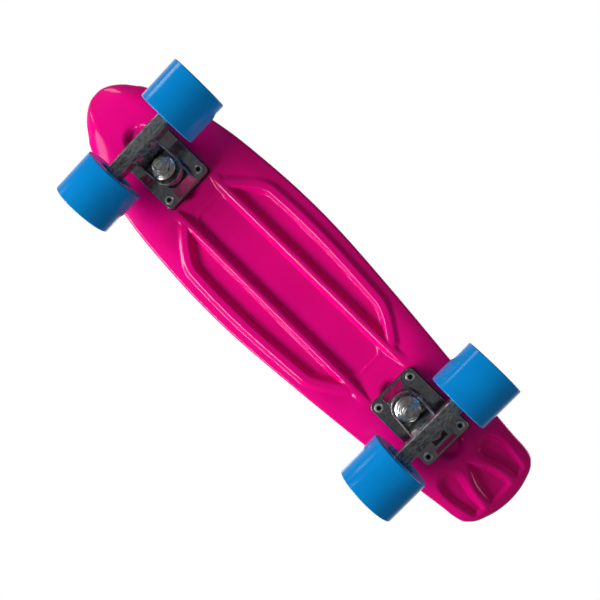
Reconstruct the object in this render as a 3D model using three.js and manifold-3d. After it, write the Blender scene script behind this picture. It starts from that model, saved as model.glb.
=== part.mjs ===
import * as THREE from "three";
import { mergeVertices } from "three/addons/utils/BufferGeometryUtils.js";
import Module from "manifold-3d";

const wasm = await Module();
wasm.setup();

// Cruiser skateboard in millimetres, standing on its wheels.
// The nose points along +X, the rider's left is +Y, the floor is z = 0,
// and the origin lies on the floor under the middle of the deck's length.

// Board
const wheelbase = 370;
const noseOverhang = 101;
const tailOverhang = 112;
const deckWidth = 149;
const fitGap = 0.3;
const overrun = 1;

// Deck body
const deckThickness = 12.5;
const crownHeight = 5;
const crownRun = 36;
const rimRadius = 2.6;
const topRound = 1.6;
const tipWidth = 10;
const stationStep = 25;
const noseRise = 12;
const tailRise = 28;
const kickMargin = 3;
const kickPower = 1.5;
const padHalfWidth = 30;
const padShare = 0.58;

// Underside of the deck
const channelHalfWidth = 21;
const channelFrontSetback = 72;
const channelRearSetback = 78;
const channelCorner = 15;
const pocketDraft = 6.5;
const pocketDepth = 6.5;
const straightRibCrest = 8.5;
const outerRibInset = 16;
const outerRibCrest = 5;
const outerRibFlare = 4.6;
const outerRibDepth = 6.5;
const outerRibDrop = 0.3;
const outerRibJoin = 1.5;
const outerRibFrontSetback = 67;
const outerRibRearSetback = 72;
const outerRibBend = 36;
const outerRibPower = 1.4;
const pocketTip = 4;
const pitLength = 100;
const pitWidth = 30;
const pitInboard = 6.5;
const pitDepth = 6;
const pitDraft = 4.5;
const recessSetback = 44;
const recessLength = 54;
const recessDepth = 6.5;

// Trucks: heights are taken from the axle, "outboard" is towards the board's end
const axleToPlate = 39.3;
const plateLength = 77.5;
const plateWidth = 55;
const plateCorner = 6;
const plateEdge = 0.8;
const plateInboard = 11.25;
const flangeThickness = 5.2;
const humpHeight = 10.3;
const humpWidth = 23;
const humpDraft = 1.2;
const humpSlope = 8;
const riserThickness = 3;
const riserMargin = 0.7;
const boltEndMargin = 7;
const boltSideMargin = 6.85;
const kingpinInboard = 27;
const ringHeight = 19.5;
const kingpinLean = THREE.MathUtils.degToRad(8);
const kingpinDiameter = 9.5;
const kingpinHeadWidth = 14.3;
const kingpinHeadHeight = 5.5;
const kingpinTail = 1;
const headCover = 1.8;
const nutWidth = 14.3;
const nutHeight = 5.6;
const nutCollarDiameter = 12.4;
const nutCollarHeight = 2;
const cupWasherDiameter = 24;
const cupWasherThickness = 1.4;
const cupWasherLip = 1.6;
const cupWasherWall = 1.1;
const upperBushingDiameter = 22.4;
const upperBushingHeight = 5.8;
const lowerBushingDiameter = 21.4;
const lowerBushingHeight = 6.8;
const boreClearance = 1.5;

// Hanger
const hangerWidth = 88;
const ringDiameter = 29.6;
const ringThickness = 7;
const barFace = 11.4;
const barWaist = 14.6;
const barShoulder = 10.8;
const barBelow = 8.7;
const barAbove = 8.8;
const barChamfer = 1.3;
const barWaistHeight = 4;
const yokeThickness = 7;
const yokeFall = 8;
const cheekThickness = 1.9;
const cheekTop = 6;
const pivotOutboard = 11.8;
const pivotHeight = 34;
const pivotFoot = 2;
const pivotTipRadius = 4.5;
const pivotRootRadius = 7;
const pivotPlay = 0.35;
const pivotSwing = 1;
const cupWidth = 15;
const cupLength = 13.6;
const cupInboard = 1.6;
const cupDepth = 11;

// Axles and wheels
const axleDiameter = 8;
const axleTail = 1.4;
const axleChamfer = 0.8;
const washerDiameter = 12.6;
const washerThickness = 1;
const bearingDiameter = 22;
const bearingWidth = 7;
const spacerDiameter = 10.2;
const spacerLength = 10;
const axleNutWidth = 13;
const axleNutHeight = 6.4;
const wheelDiameter = 62;
const wheelWidth = 46;
const wheelEdge = 1.8;
const wheelShoulder = 19;
const hubRecessDiameter = 31;

// Mounting screws
const screwDiameter = 5;
const screwHeadDiameter = 8.6;
const screwHeadHeight = 3.2;
const screwSocketWidth = 4;
const screwSocketDepth = 2;
const screwClearance = 0.4;
const deckSkin = 2.4;

// Numbers of facets
const wheelSides = 28;
const bearingSides = 16;
const ringSides = 20;
const smallSides = 10;
const cornerSteps = 4;
const pocketSteps = 10;
const recessSmoothing = 1.5;

// Outline of one half of the deck from the tail tip to the nose tip,
// as shares of half the length and half the width.
const outlineShares = [
  [-1, 0], [-0.997, 0.15], [-0.989, 0.29], [-0.97, 0.475], [-0.95, 0.565], [-0.93, 0.617], [-0.891, 0.645],
  [-0.815, 0.665], [-0.532, 0.778], [-0.256, 0.892], [0.019, 0.984], [0.226, 1], [0.432, 0.957],
  [0.57, 0.897], [0.707, 0.785], [0.858, 0.577], [0.903, 0.477], [0.943, 0.372], [0.973, 0.26],
  [0.99, 0.165], [0.998, 0.09], [1, 0],
];

// Crown of the underside: how far a point lies from the rim towards the flat pad,
// and how much of the crown it has come down.
const crownShares = [[0, 0], [0.3, 0.06], [0.66, 0.62], [1, 1]];

// Wall of a moulded pocket: how far in towards the floor, and how deep.
const wallShares = [[-0.2, 0], [0.12, 0.22], [1, 1]];

// Recesses in the tail, along the recess length and across half the deck's width.
const sideRecessShares = [
  [0, 0.35], [0.06, 0.46], [0.22, 0.513], [0.45, 0.52], [0.67, 0.5], [0.95, 0.455],
  [1, 0.37], [0.97, 0.285], [0.67, 0.246], [0.43, 0.2], [0.22, 0.165], [0.06, 0.23],
];
const middleRecessShares = [
  [0.15, 0], [0.33, 0.085], [0.53, 0.156], [0.73, 0.188], [0.97, 0.187], [1.03, 0.1],
  [1.03, -0.1], [0.97, -0.187], [0.73, -0.188], [0.53, -0.156], [0.33, -0.085],
];
const recessFloorShare = 0.66;

// Worked out from the sizes above
const deckLength = tailOverhang + wheelbase + noseOverhang;
const rearAxle = tailOverhang - deckLength / 2;
const frontAxle = rearAxle + wheelbase;
const wheelStep = (2 * Math.PI) / wheelSides;
const axleHeight = (wheelDiameter / 2) * Math.cos(wheelStep / 2);
const plateFace = axleHeight + axleToPlate;
const plateTop = plateFace + flangeThickness;
const padLevel = plateTop + fitGap + riserThickness + fitGap;
const humpFace = plateFace - humpHeight;
const plateOutboardEnd = plateLength / 2 - plateInboard;
const plateInboardEnd = -plateLength / 2 - plateInboard;
const boltPitchLong = plateLength - 2 * boltEndMargin;
const boltPitchWide = plateWidth - 2 * boltSideMargin;
const tailKickStart = rearAxle - plateOutboardEnd - kickMargin;
const noseKickStart = frontAxle + plateOutboardEnd + kickMargin;
const ringLevel = axleHeight + ringHeight;
const pivotLevel = axleHeight + pivotHeight;
const washerStart = hangerWidth / 2 + fitGap;
const innerBearing = washerStart + washerThickness + fitGap;
const spacerStart = innerBearing + bearingWidth + fitGap;
const outerBearing = spacerStart + spacerLength + fitGap;
const outerWasher = outerBearing + bearingWidth + fitGap;
const axleNutStart = outerWasher + washerThickness + fitGap;
const axleEnd = axleNutStart + axleNutHeight + axleTail;
const wheelCentre = spacerStart + spacerLength / 2;
const straightRibEdge = channelHalfWidth + straightRibCrest;

// Materials
const deckPlastic = new THREE.MeshStandardMaterial({ color: 0xe1007a, roughness: 0.35, metalness: 0 });
const wheelRubber = new THREE.MeshStandardMaterial({ color: 0x0078c8, roughness: 0.4, metalness: 0 });
const castAluminium = new THREE.MeshStandardMaterial({ color: 0x6a7074, roughness: 0.25, metalness: 1 });
const zincSteel = new THREE.MeshStandardMaterial({ color: 0xc8ccd0, roughness: 0.2, metalness: 1 });
const darkSteel = new THREE.MeshStandardMaterial({ color: 0x3a3d40, roughness: 0.4, metalness: 1 });
const blackPlastic = new THREE.MeshStandardMaterial({ color: 0x16171a, roughness: 0.6, metalness: 0 });
const blackUrethane = new THREE.MeshStandardMaterial({ color: 0x1d1e21, roughness: 0.5, metalness: 0 });

// A closed geometry as a solid, with its faces turned outwards.
function solid(geometry) {
  const bare = geometry.clone();
  bare.deleteAttribute("normal");
  bare.deleteAttribute("uv");
  const merged = mergeVertices(bare);
  const corners = merged.index.array;
  const outward = [];
  const inward = [];
  for (let i = 0; i < corners.length; i += 3) {
    const [a, b, c] = corners.slice(i, i + 3);
    if (a === b || b === c || c === a) continue;
    outward.push(a, b, c);
    inward.push(a, c, b);
  }
  const vertProperties = new Float32Array(merged.attributes.position.array);
  const made = (faces) =>
    new wasm.Manifold(new wasm.Mesh({ numProp: 3, vertProperties, triVerts: new Uint32Array(faces) }));
  const first = made(outward);
  return first.volume() > 0 ? first : made(inward);
}

function joined(geometries) {
  return geometries.map(solid).reduce((whole, next) => whole.add(next));
}

function cut(body, geometries) {
  return geometries.map(solid).reduce((rest, next) => rest.subtract(next), body);
}

function geometryOf(body) {
  const mesh = body.getMesh();
  const geometry = new THREE.BufferGeometry();
  geometry.setAttribute("position", new THREE.BufferAttribute(new Float32Array(mesh.vertProperties), 3));
  geometry.setIndex(new THREE.BufferAttribute(new Uint32Array(mesh.triVerts), 1));
  geometry.computeVertexNormals();
  return geometry;
}

function piece(name, body, material) {
  const mesh = new THREE.Mesh(geometryOf(body), material);
  mesh.name = name;
  return mesh;
}

// Rings of equally many points, skinned one to the next and closed at both ends.
function loft(rings) {
  const count = rings[0].length;
  const points = rings.flat();
  const faces = [];
  for (let ring = 0; ring + 1 < rings.length; ring++) {
    for (let i = 0; i < count; i++) {
      const a = ring * count + i;
      const b = ring * count + ((i + 1) % count);
      faces.push(a, b, b + count, a, b + count, a + count);
    }
  }
  for (const end of [0, rings.length - 1]) {
    const middle = new THREE.Vector3();
    for (const point of rings[end]) middle.addScaledVector(point, 1 / count);
    const hub = points.push(middle) - 1;
    for (let i = 0; i < count; i++) {
      const pair = [end * count + i, end * count + ((i + 1) % count)];
      faces.push(hub, ...(end === 0 ? pair.reverse() : pair));
    }
  }
  const geometry = new THREE.BufferGeometry().setFromPoints(points);
  geometry.setIndex(faces);
  return geometry;
}

// A cone or cylinder standing along z.
function taper(lowRadius, highRadius, low, high, sides) {
  const shape = new THREE.CylinderGeometry(highRadius, lowRadius, high - low, sides);
  shape.rotateX(Math.PI / 2);
  return shape.translate(0, 0, (low + high) / 2);
}

function rod(radius, low, high, sides) {
  return taper(radius, radius, low, high, sides);
}

// A six-sided bar standing along z, measured across its flats.
function hexBar(width, low, high) {
  return rod(width / Math.sqrt(3), low, high, 6);
}

// A profile of [radius, height] points turned about z.
function turned(profile, sides) {
  const points = profile.map(([radius, height]) => new THREE.Vector2(radius, height));
  return new THREE.LatheGeometry(points, sides).rotateX(Math.PI / 2);
}

// A closed ring section turned about z.
function turnedRing(profile, sides) {
  return turned([...profile, profile[0]], sides);
}

function block(low, high) {
  const size = new THREE.Vector3().subVectors(high, low);
  const shape = new THREE.BoxGeometry(size.x, size.y, size.z);
  return shape.translate((low.x + high.x) / 2, (low.y + high.y) / 2, (low.z + high.z) / 2);
}

// Corner points of a rectangle with round corners, as a list of x and y.
function roundedRectangle(centre, length, width, corner) {
  const points = [];
  for (let quarter = 0; quarter < 4; quarter++) {
    const along = quarter === 0 || quarter === 3 ? 1 : -1;
    const across = quarter < 2 ? 1 : -1;
    for (let step = 0; step <= cornerSteps; step++) {
      const angle = (quarter + step / cornerSteps) * (Math.PI / 2);
      points.push(
        new THREE.Vector2(
          centre + along * (length / 2 - corner) + corner * Math.cos(angle),
          across * (width / 2 - corner) + corner * Math.sin(angle),
        ),
      );
    }
  }
  return points;
}

// A side profile of [x, z] points made solid from one y to another.
function plank(profile, from, to) {
  const shape = new THREE.Shape(profile.map(([x, z]) => new THREE.Vector2(x, z)));
  const slab = new THREE.ExtrudeGeometry(shape, { depth: to - from, bevelEnabled: false });
  return slab.rotateX(Math.PI / 2).translate(0, to, 0);
}

function flatRing(outline, height) {
  return outline.map((point) => new THREE.Vector3(point.x, point.y, height));
}

function ease(share) {
  const held = THREE.MathUtils.clamp(share, 0, 1);
  return (1 - Math.cos(held * Math.PI)) / 2;
}

// Height that the kicked tail and the lifted nose add to the flat deck.
function rise(x) {
  const behind = Math.max(0, tailKickStart - x) / (tailKickStart + deckLength / 2);
  const ahead = Math.max(0, x - noseKickStart) / (deckLength / 2 - noseKickStart);
  return tailRise * behind ** kickPower + noseRise * ahead ** kickPower;
}

// Points of the deck outline, left half only, from tail to nose.
function outlineStations() {
  const corners = outlineShares.map(
    ([along, across]) => new THREE.Vector2((along * deckLength) / 2, (across * deckWidth) / 2),
  );
  const curve = new THREE.SplineCurve(corners);
  const spans = corners.length - 1;
  const stations = [];
  for (let span = 0; span < spans; span++) {
    const steps = Math.ceil(corners[span].distanceTo(corners[span + 1]) / stationStep);
    for (let step = 0; step < steps; step++) stations.push(curve.getPoint((span + step / steps) / spans));
  }
  const ends = [-deckLength / 2, deckLength / 2];
  const [tailTip, noseTip] = ends.map((x) => new THREE.Vector2(x, tipWidth / 2));
  return [tailTip, ...stations.filter((station) => station.y > tipWidth / 2), noseTip];
}

const stations = outlineStations();

function halfWidthAt(x) {
  const next = stations.findIndex((station) => station.x > x);
  const [from, to] = [stations[next - 1], stations[next]];
  return THREE.MathUtils.mapLinear(x, from.x, to.x, from.y, to.y);
}

// One cross-section of the deck: a crowned underside, a round rim and a flat top.
function deckSection(station) {
  const half = station.y;
  const tipDistance = deckLength / 2 - Math.abs(station.x);
  const rim = Math.min(rimRadius, half / 4);
  const shortfall = Math.max(0, rimRadius - tipDistance);
  const tipLift = rimRadius - Math.sqrt(rimRadius ** 2 - shortfall ** 2);
  const flat = Math.min(padHalfWidth, padShare * half);
  const base = padLevel + rise(station.x) + tipLift;
  const top = padLevel + rise(station.x) + deckThickness;
  const tipShare = ease(tipDistance / crownRun);
  const crown = (fall) => base + crownHeight * (1 - tipShare * fall);
  const side = [...crownShares]
    .reverse()
    .map(([inward, fall]) => [THREE.MathUtils.lerp(half - rim, flat, inward), crown(fall)]);
  for (const angle of [Math.PI / 4, Math.PI / 2]) {
    side.push([half - rim + rim * Math.sin(angle), crown(0) + rim * (1 - Math.cos(angle))]);
  }
  side.push([half, top - topRound]);
  side.push([half - Math.min(topRound, half / 2), top]);
  const left = side.map(([y, z]) => new THREE.Vector3(station.x, y, z));
  const right = side.map(([y, z]) => new THREE.Vector3(station.x, -y, z)).reverse();
  const under = new THREE.Vector3(station.x, 0, crown(1));
  const above = new THREE.Vector3(station.x, 0, top);
  return [under, ...left, above, ...right];
}

// A moulded pocket with sloping walls, cut up into the underside.
function pocket(rim, floor, depth) {
  const ringAt = (inward, height) =>
    rim.map((point, i) => {
      const place = new THREE.Vector2().lerpVectors(point, floor[i], inward);
      return new THREE.Vector3(place.x, place.y, padLevel + rise(place.x) + height);
    });
  const [[lip]] = wallShares;
  const rings = wallShares.map(([inward, down]) => ringAt(inward, down * depth));
  return loft([ringAt(lip, -crownHeight), ...rings]);
}

// Where the outer ribs end, and where they start to bend in.
const ribFront = frontAxle - outerRibFrontSetback;
const ribRear = rearAxle + outerRibRearSetback;
const frontTurn = ribFront - outerRibBend;
const rearTurn = ribRear + outerRibBend;

// Middle line of an outer rib: it follows the deck's edge and bends in at both ends.
function outerRibAt(x) {
  const straightX = THREE.MathUtils.clamp(x, rearTurn, frontTurn);
  const outer = halfWidthAt(straightX) - outerRibInset;
  const bent = Math.abs(x - straightX) / outerRibBend;
  return outer - (outer - straightRibEdge - outerRibJoin) * bent ** outerRibPower;
}

// Place where the middle line of the outer rib comes in to the given width.
function outerRibReach(width, end) {
  const turn = end > 0 ? frontTurn : rearTurn;
  const outer = halfWidthAt(turn) - outerRibInset;
  const bent = Math.max(0, outer - width) / (outer - straightRibEdge - outerRibJoin);
  return turn + end * outerRibBend * bent ** (1 / outerRibPower);
}

// A side pocket's walls slope less where its ribs leave little room for them.
const turnWidth = Math.min(halfWidthAt(frontTurn), halfWidthAt(rearTurn));
const sideRoom = turnWidth - outerRibInset - outerRibCrest / 2 - straightRibEdge;
const sideDraft = Math.min(pocketDraft, (sideRoom - pocketTip) / 2);

// One outline of the pocket between a straight rib and an outer rib.
function sidePocketOutline(side, draft) {
  const inner = straightRibEdge + draft;
  const toRim = outerRibCrest / 2 + draft;
  const rear = outerRibReach(inner + toRim + pocketTip, -1);
  const front = outerRibReach(inner + toRim + pocketTip, 1);
  const places = Array.from({ length: pocketSteps + 1 }, (_, step) =>
    THREE.MathUtils.lerp(rear, front, (1 - Math.cos((step * Math.PI) / pocketSteps)) / 2),
  );
  const straight = places.map((x) => new THREE.Vector2(x, side * inner));
  const curved = places.map((x) => new THREE.Vector2(x, side * (outerRibAt(x) - toRim)));
  return [...straight, ...curved.reverse()];
}

// An outer rib: a ridge with a narrow crest that stands down from the underside.
function outerRib(side) {
  const crest = padLevel + outerRibDrop;
  const foot = padLevel + outerRibDepth;
  const path = Array.from({ length: 2 * pocketSteps + 1 }, (_, step) => {
    const x = THREE.MathUtils.lerp(ribRear, ribFront, step / (2 * pocketSteps));
    return new THREE.Vector3(x, side * outerRibAt(x), 0);
  });
  return loft(
    path.map((point, i) => {
      const ahead = path[Math.min(i + 1, path.length - 1)];
      const behind = path[Math.max(i - 1, 0)];
      const along = new THREE.Vector3().subVectors(ahead, behind).normalize();
      const across = new THREE.Vector3(-along.y, along.x, 0);
      const corner = (offset, height) => point.clone().addScaledVector(across, offset).setZ(height);
      return [
        corner(-outerRibCrest / 2, crest),
        corner(outerRibCrest / 2, crest),
        corner(outerRibCrest / 2 + outerRibFlare, foot),
        corner(-outerRibCrest / 2 - outerRibFlare, foot),
      ];
    }),
  );
}

function channel() {
  const front = frontAxle - channelFrontSetback;
  const rear = rearAxle + channelRearSetback;
  const outline = (draft) =>
    roundedRectangle(
      (front + rear) / 2,
      front - rear - 2 * draft,
      2 * (channelHalfWidth - draft),
      channelCorner - draft,
    );
  return pocket(outline(0), outline(pocketDraft), pocketDepth);
}

function sidePocket(side) {
  return pocket(sidePocketOutline(side, 0), sidePocketOutline(side, sideDraft), pocketDepth);
}

// The shallow pit in the pad that shows past both ends of a truck's baseplate.
function truckPit(axle, outboard) {
  const outline = (draft) =>
    roundedRectangle(
      axle - outboard * pitInboard,
      pitLength - 2 * draft,
      pitWidth - 2 * draft,
      pitWidth / 2 - draft,
    );
  return pocket(outline(0), outline(pitDraft), pitDepth);
}

// A recess in the tail, its rim smoothed through the given shares.
function tailRecess(shares, side) {
  const start = rearAxle - recessSetback;
  const corners = shares.map(
    ([along, across]) =>
      new THREE.Vector3(start - along * recessLength, (side * across * deckWidth) / 2, 0),
  );
  const places = Math.round(recessSmoothing * corners.length);
  const rim = new THREE.CatmullRomCurve3(corners, true).getPoints(places).slice(1);
  const middle = new THREE.Vector3();
  for (const point of rim) middle.addScaledVector(point, 1 / rim.length);
  const floor = rim.map((point) => new THREE.Vector3().lerpVectors(middle, point, recessFloorShare));
  return pocket(rim, floor, recessDepth);
}

// Places of the four mounting screws of a truck, in the truck's own frame.
const screwPlaces = [1, -1].flatMap((along) =>
  [1, -1].map(
    (across) =>
      new THREE.Vector3((along * boltPitchLong) / 2 - plateInboard, (across * boltPitchWide) / 2, 0),
  ),
);
const screwTop = padLevel + deckThickness - deckSkin;
const holeRadius = screwDiameter / 2 + screwClearance;

function deck() {
  const blank = joined([loft(stations.map(deckSection)), outerRib(1), outerRib(-1)]);
  const pockets = [channel(), sidePocket(1), sidePocket(-1), tailRecess(middleRecessShares, 1)];
  pockets.push(tailRecess(sideRecessShares, 1), tailRecess(sideRecessShares, -1));
  const ends = [
    [rearAxle, -1],
    [frontAxle, 1],
  ];
  for (const [axle, outboard] of ends) {
    pockets.push(truckPit(axle, outboard));
    for (const place of screwPlaces) {
      const hole = rod(holeRadius, padLevel - overrun, screwTop + fitGap, smallSides);
      pockets.push(hole.translate(axle + outboard * place.x, place.y, 0));
    }
  }
  return cut(blank, pockets);
}

function riserPad() {
  const low = plateTop + fitGap;
  const high = low + riserThickness;
  const outline = roundedRectangle(
    -plateInboard,
    plateLength + 2 * riserMargin,
    plateWidth + 2 * riserMargin,
    plateCorner + riserMargin,
  );
  const pad = solid(loft([flatRing(outline, low), flatRing(outline, high)]));
  const holes = screwPlaces.map((place) =>
    rod(holeRadius, low - overrun, high + overrun, smallSides).translate(place.x, place.y, 0),
  );
  return cut(pad, holes);
}

// Moves a shape made along z, with the hanger's ring at z = 0, onto the leaning kingpin.
function onKingpin(geometry) {
  return geometry.rotateY(-kingpinLean).translate(-kingpinInboard, 0, ringLevel);
}

// Stations along the kingpin, up from the middle of the hanger's ring.
const upperBushingLow = ringThickness / 2 + fitGap;
const upperBushingHigh = upperBushingLow + upperBushingHeight;
const upperWasherLow = upperBushingHigh + fitGap;
const plateSeat = upperWasherLow + cupWasherThickness + fitGap;
const lowerBushingHigh = -ringThickness / 2 - fitGap;
const lowerBushingLow = lowerBushingHigh - lowerBushingHeight;
const lowerWasherHigh = lowerBushingLow - fitGap;
const nutHigh = lowerWasherHigh - cupWasherThickness - fitGap;
const nutLow = nutHigh - nutHeight - nutCollarHeight;
const kingpinHeadTop = (plateTop - headCover - ringLevel) / Math.cos(kingpinLean);
const kingpinHeadLow = kingpinHeadTop - kingpinHeadHeight;
const kingpinBore = kingpinDiameter / 2 + fitGap;

// The leaning horn of the hanger, from its foot in the bar to its round tip.
const hornFoot = new THREE.Vector3(pivotFoot, 0, axleHeight);
const hornTip = new THREE.Vector3(pivotOutboard, 0, pivotLevel);

function horn(play, swing, reach) {
  const length = hornFoot.distanceTo(hornTip);
  const tip = pivotTipRadius + play;
  const profile = [
    [0, 0],
    [pivotRootRadius + swing, 0],
    [tip + swing, length - reach],
    [tip, length],
  ];
  for (let step = 1; step < cornerSteps; step++) {
    const angle = (step / cornerSteps) * (Math.PI / 2);
    profile.push([tip * Math.cos(angle), length + tip * Math.sin(angle)]);
  }
  profile.push([0, length + tip]);
  const lean = Math.atan2(hornTip.x - hornFoot.x, hornTip.z - hornFoot.z);
  return turned(profile, smallSides).rotateY(lean).translate(hornFoot.x, 0, hornFoot.z);
}

// Baseplate: a flange with a raised body whose ends slope down to it.
function baseplate() {
  const edge = plateEdge;
  const outline = (inset) =>
    roundedRectangle(-plateInboard, plateLength - 2 * inset, plateWidth - 2 * inset, plateCorner - inset);
  const flange = loft([
    flatRing(outline(edge), plateFace),
    flatRing(outline(0), plateFace + edge),
    flatRing(outline(0), plateTop),
  ]);
  const bodyRing = (slope, draft, height) =>
    [
      [plateInboardEnd + slope, -1],
      [plateOutboardEnd - slope, -1],
      [plateOutboardEnd - slope, 1],
      [plateInboardEnd + slope, 1],
    ].map(([x, side]) => new THREE.Vector3(x, side * (humpWidth / 2 + draft), height));
  const body = loft([bodyRing(humpSlope, 0, humpFace), bodyRing(edge, humpDraft, plateFace + edge)]);
  const cupLow = humpFace - overrun;
  const cupHigh = humpFace + cupDepth + fitGap;
  const cupFrom = pivotOutboard - cupInboard - cupLength / 2 - fitGap;
  const cupTo = cupFrom + cupLength + 2 * fitGap;
  const cupSide = cupWidth / 2 + fitGap;
  const cuts = [
    onKingpin(rod(kingpinBore, plateSeat - flangeThickness - humpHeight, kingpinHeadTop, ringSides)),
    onKingpin(rod(cupWasherDiameter / 2 + fitGap, plateSeat - humpHeight, plateSeat, ringSides)),
    onKingpin(hexBar(kingpinHeadWidth + 2 * fitGap, kingpinHeadLow - fitGap, kingpinHeadTop + humpHeight)),
    block(new THREE.Vector3(cupFrom, -cupSide, cupLow), new THREE.Vector3(cupTo, cupSide, cupHigh)),
  ];
  for (const place of screwPlaces) {
    cuts.push(rod(holeRadius, humpFace, plateTop + overrun, smallSides).translate(place.x, place.y, 0));
  }
  return cut(joined([flange, body]), cuts);
}

// Pivot cup: a soft block in the baseplate that holds the round tip of the horn.
function pivotCup() {
  const from = pivotOutboard - cupInboard - cupLength / 2;
  const low = new THREE.Vector3(from, -cupWidth / 2, humpFace);
  const high = new THREE.Vector3(from + cupLength, cupWidth / 2, humpFace + cupDepth);
  return cut(solid(block(low, high)), [horn(pivotPlay, pivotSwing, pivotTipRadius)]);
}

// The cast hanger: a bar for the axle, a yoke with two cheeks, the kingpin ring and the pivot horn.
function hanger() {
  const half = hangerWidth / 2;
  const barSection = [
    [barFace / 2, -barBelow],
    [barFace / 2 + barChamfer, -barBelow + barChamfer],
    [barWaist / 2, barWaistHeight],
    [barShoulder / 2, barAbove],
  ];
  const mirrored = barSection.map(([x, z]) => [-x, z]).reverse();
  const barRing = (y) =>
    [...barSection, ...mirrored].map(([x, z]) => new THREE.Vector3(x, y, axleHeight + z));
  const bar = loft([barRing(-half), barRing(half)]);
  const ring = onKingpin(rod(ringDiameter / 2, -ringThickness / 2, ringThickness / 2, ringSides));
  const ringUnder = ringLevel - ringThickness / 2;
  const bend = cupWasherDiameter / 2 + fitGap + overrun - kingpinInboard;
  const slab = [
    [-kingpinInboard, ringUnder],
    [bend, ringUnder + yokeFall / 4],
    [-barFace / 2, axleHeight],
    [-barFace / 2, axleHeight + barAbove],
    [bend, ringUnder + yokeThickness],
    [-kingpinInboard, ringUnder + yokeThickness],
  ];
  const cheek = [
    [-kingpinInboard, ringUnder + overrun],
    [-barFace / 2, axleHeight - barBelow + barChamfer],
    [-barFace / 2, axleHeight + barAbove],
    [bend, ringUnder + cheekTop],
    [-kingpinInboard, ringUnder + cheekTop],
  ];
  const outer = ringDiameter / 2;
  const parts = [bar, ring, horn(0, 0, pivotTipRadius), plank(slab, -outer, outer)];
  parts.push(plank(cheek, outer - cheekThickness, outer), plank(cheek, -outer, cheekThickness - outer));
  const bore = rod(axleDiameter / 2 + fitGap, -half - overrun, half + overrun, bearingSides);
  const kingpinHole = kingpinDiameter / 2 + boreClearance;
  return cut(joined(parts), [
    bore.rotateX(Math.PI / 2).translate(0, 0, axleHeight),
    onKingpin(rod(kingpinHole, -ringThickness, ringThickness, bearingSides)),
  ]);
}

function kingpin() {
  const radius = kingpinDiameter / 2;
  const tail = nutLow - kingpinTail;
  const profile = [
    [0, tail],
    [radius - kingpinTail, tail],
    [radius, tail + kingpinTail],
    [radius, kingpinHeadTop],
    [0, kingpinHeadTop],
  ];
  const shank = turned(profile, bearingSides);
  return joined([shank, hexBar(kingpinHeadWidth, kingpinHeadLow, kingpinHeadTop)]);
}

function kingpinNut() {
  const collar = nutHigh - nutHeight;
  const body = joined([
    hexBar(nutWidth, collar, nutHigh),
    rod(nutCollarDiameter / 2, nutLow, collar + overrun, bearingSides),
  ]);
  return cut(body, [rod(kingpinBore, nutLow - overrun, nutHigh + overrun, bearingSides)]);
}

// A dished washer whose lip holds the end of a bushing; "facing" points to the bushing.
function cupWasher(seat, facing) {
  const back = seat + facing * cupWasherThickness;
  const outer = cupWasherDiameter / 2;
  return solid(
    turnedRing(
      [
        [kingpinBore, seat],
        [outer - cupWasherLip, seat],
        [outer, back],
        [outer, back + facing * cupWasherWall],
        [outer - cupWasherWall, back + facing * cupWasherWall],
        [outer - cupWasherLip - cupWasherWall / 2, back],
        [kingpinBore, back],
      ],
      ringSides,
    ),
  );
}

// A bushing: round-edged where it meets the hanger's ring, chamfered where it sits in its cup.
function bushing(diameter, ringEnd, cupEnd) {
  const outer = diameter / 2;
  const cupSeat = cupWasherDiameter / 2 - cupWasherLip - cupWasherWall / 2 - fitGap;
  const chamfer = outer - cupSeat;
  const along = Math.sign(cupEnd - ringEnd);
  return solid(
    turnedRing(
      [
        [kingpinBore, ringEnd],
        [outer - chamfer / 2, ringEnd],
        [outer, ringEnd + (along * chamfer) / 2],
        [outer, cupEnd - along * chamfer],
        [cupSeat, cupEnd],
        [kingpinBore, cupEnd],
      ],
      bearingSides,
    ),
  );
}

function mountingScrew() {
  const head = plateFace - fitGap;
  const bottom = head - screwHeadHeight;
  const screw = turned(
    [
      [0, bottom],
      [screwHeadDiameter / 2 - screwClearance, bottom],
      [screwHeadDiameter / 2, bottom + screwClearance],
      [screwHeadDiameter / 2, head],
      [screwDiameter / 2, head],
      [screwDiameter / 2, screwTop],
      [0, screwTop],
    ],
    smallSides,
  );
  return cut(solid(screw), [hexBar(screwSocketWidth, bottom - overrun, bottom + screwSocketDepth)]);
}

function axle() {
  const radius = axleDiameter / 2;
  const inner = radius - axleChamfer;
  const profile = [
    [0, -axleEnd],
    [inner, -axleEnd],
    [radius, axleChamfer - axleEnd],
    [radius, axleEnd - axleChamfer],
    [inner, axleEnd],
    [0, axleEnd],
  ];
  return solid(turned(profile, bearingSides).rotateX(Math.PI / 2));
}

// A plain ring round the axle, from one distance to another out from the board's middle.
function axleRing(bore, outer, from, to, sides) {
  const profile = [[bore, from], [outer, from], [outer, to], [bore, to]];
  return solid(turnedRing(profile, sides).rotateX(-Math.PI / 2));
}

function axleNut() {
  const end = axleNutStart + axleNutHeight;
  const nut = solid(hexBar(axleNutWidth, axleNutStart, end).rotateX(-Math.PI / 2));
  const bore = rod(axleDiameter / 2 + fitGap, axleNutStart - overrun, end + overrun, smallSides);
  return cut(nut, [bore.rotateX(-Math.PI / 2)]);
}

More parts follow.
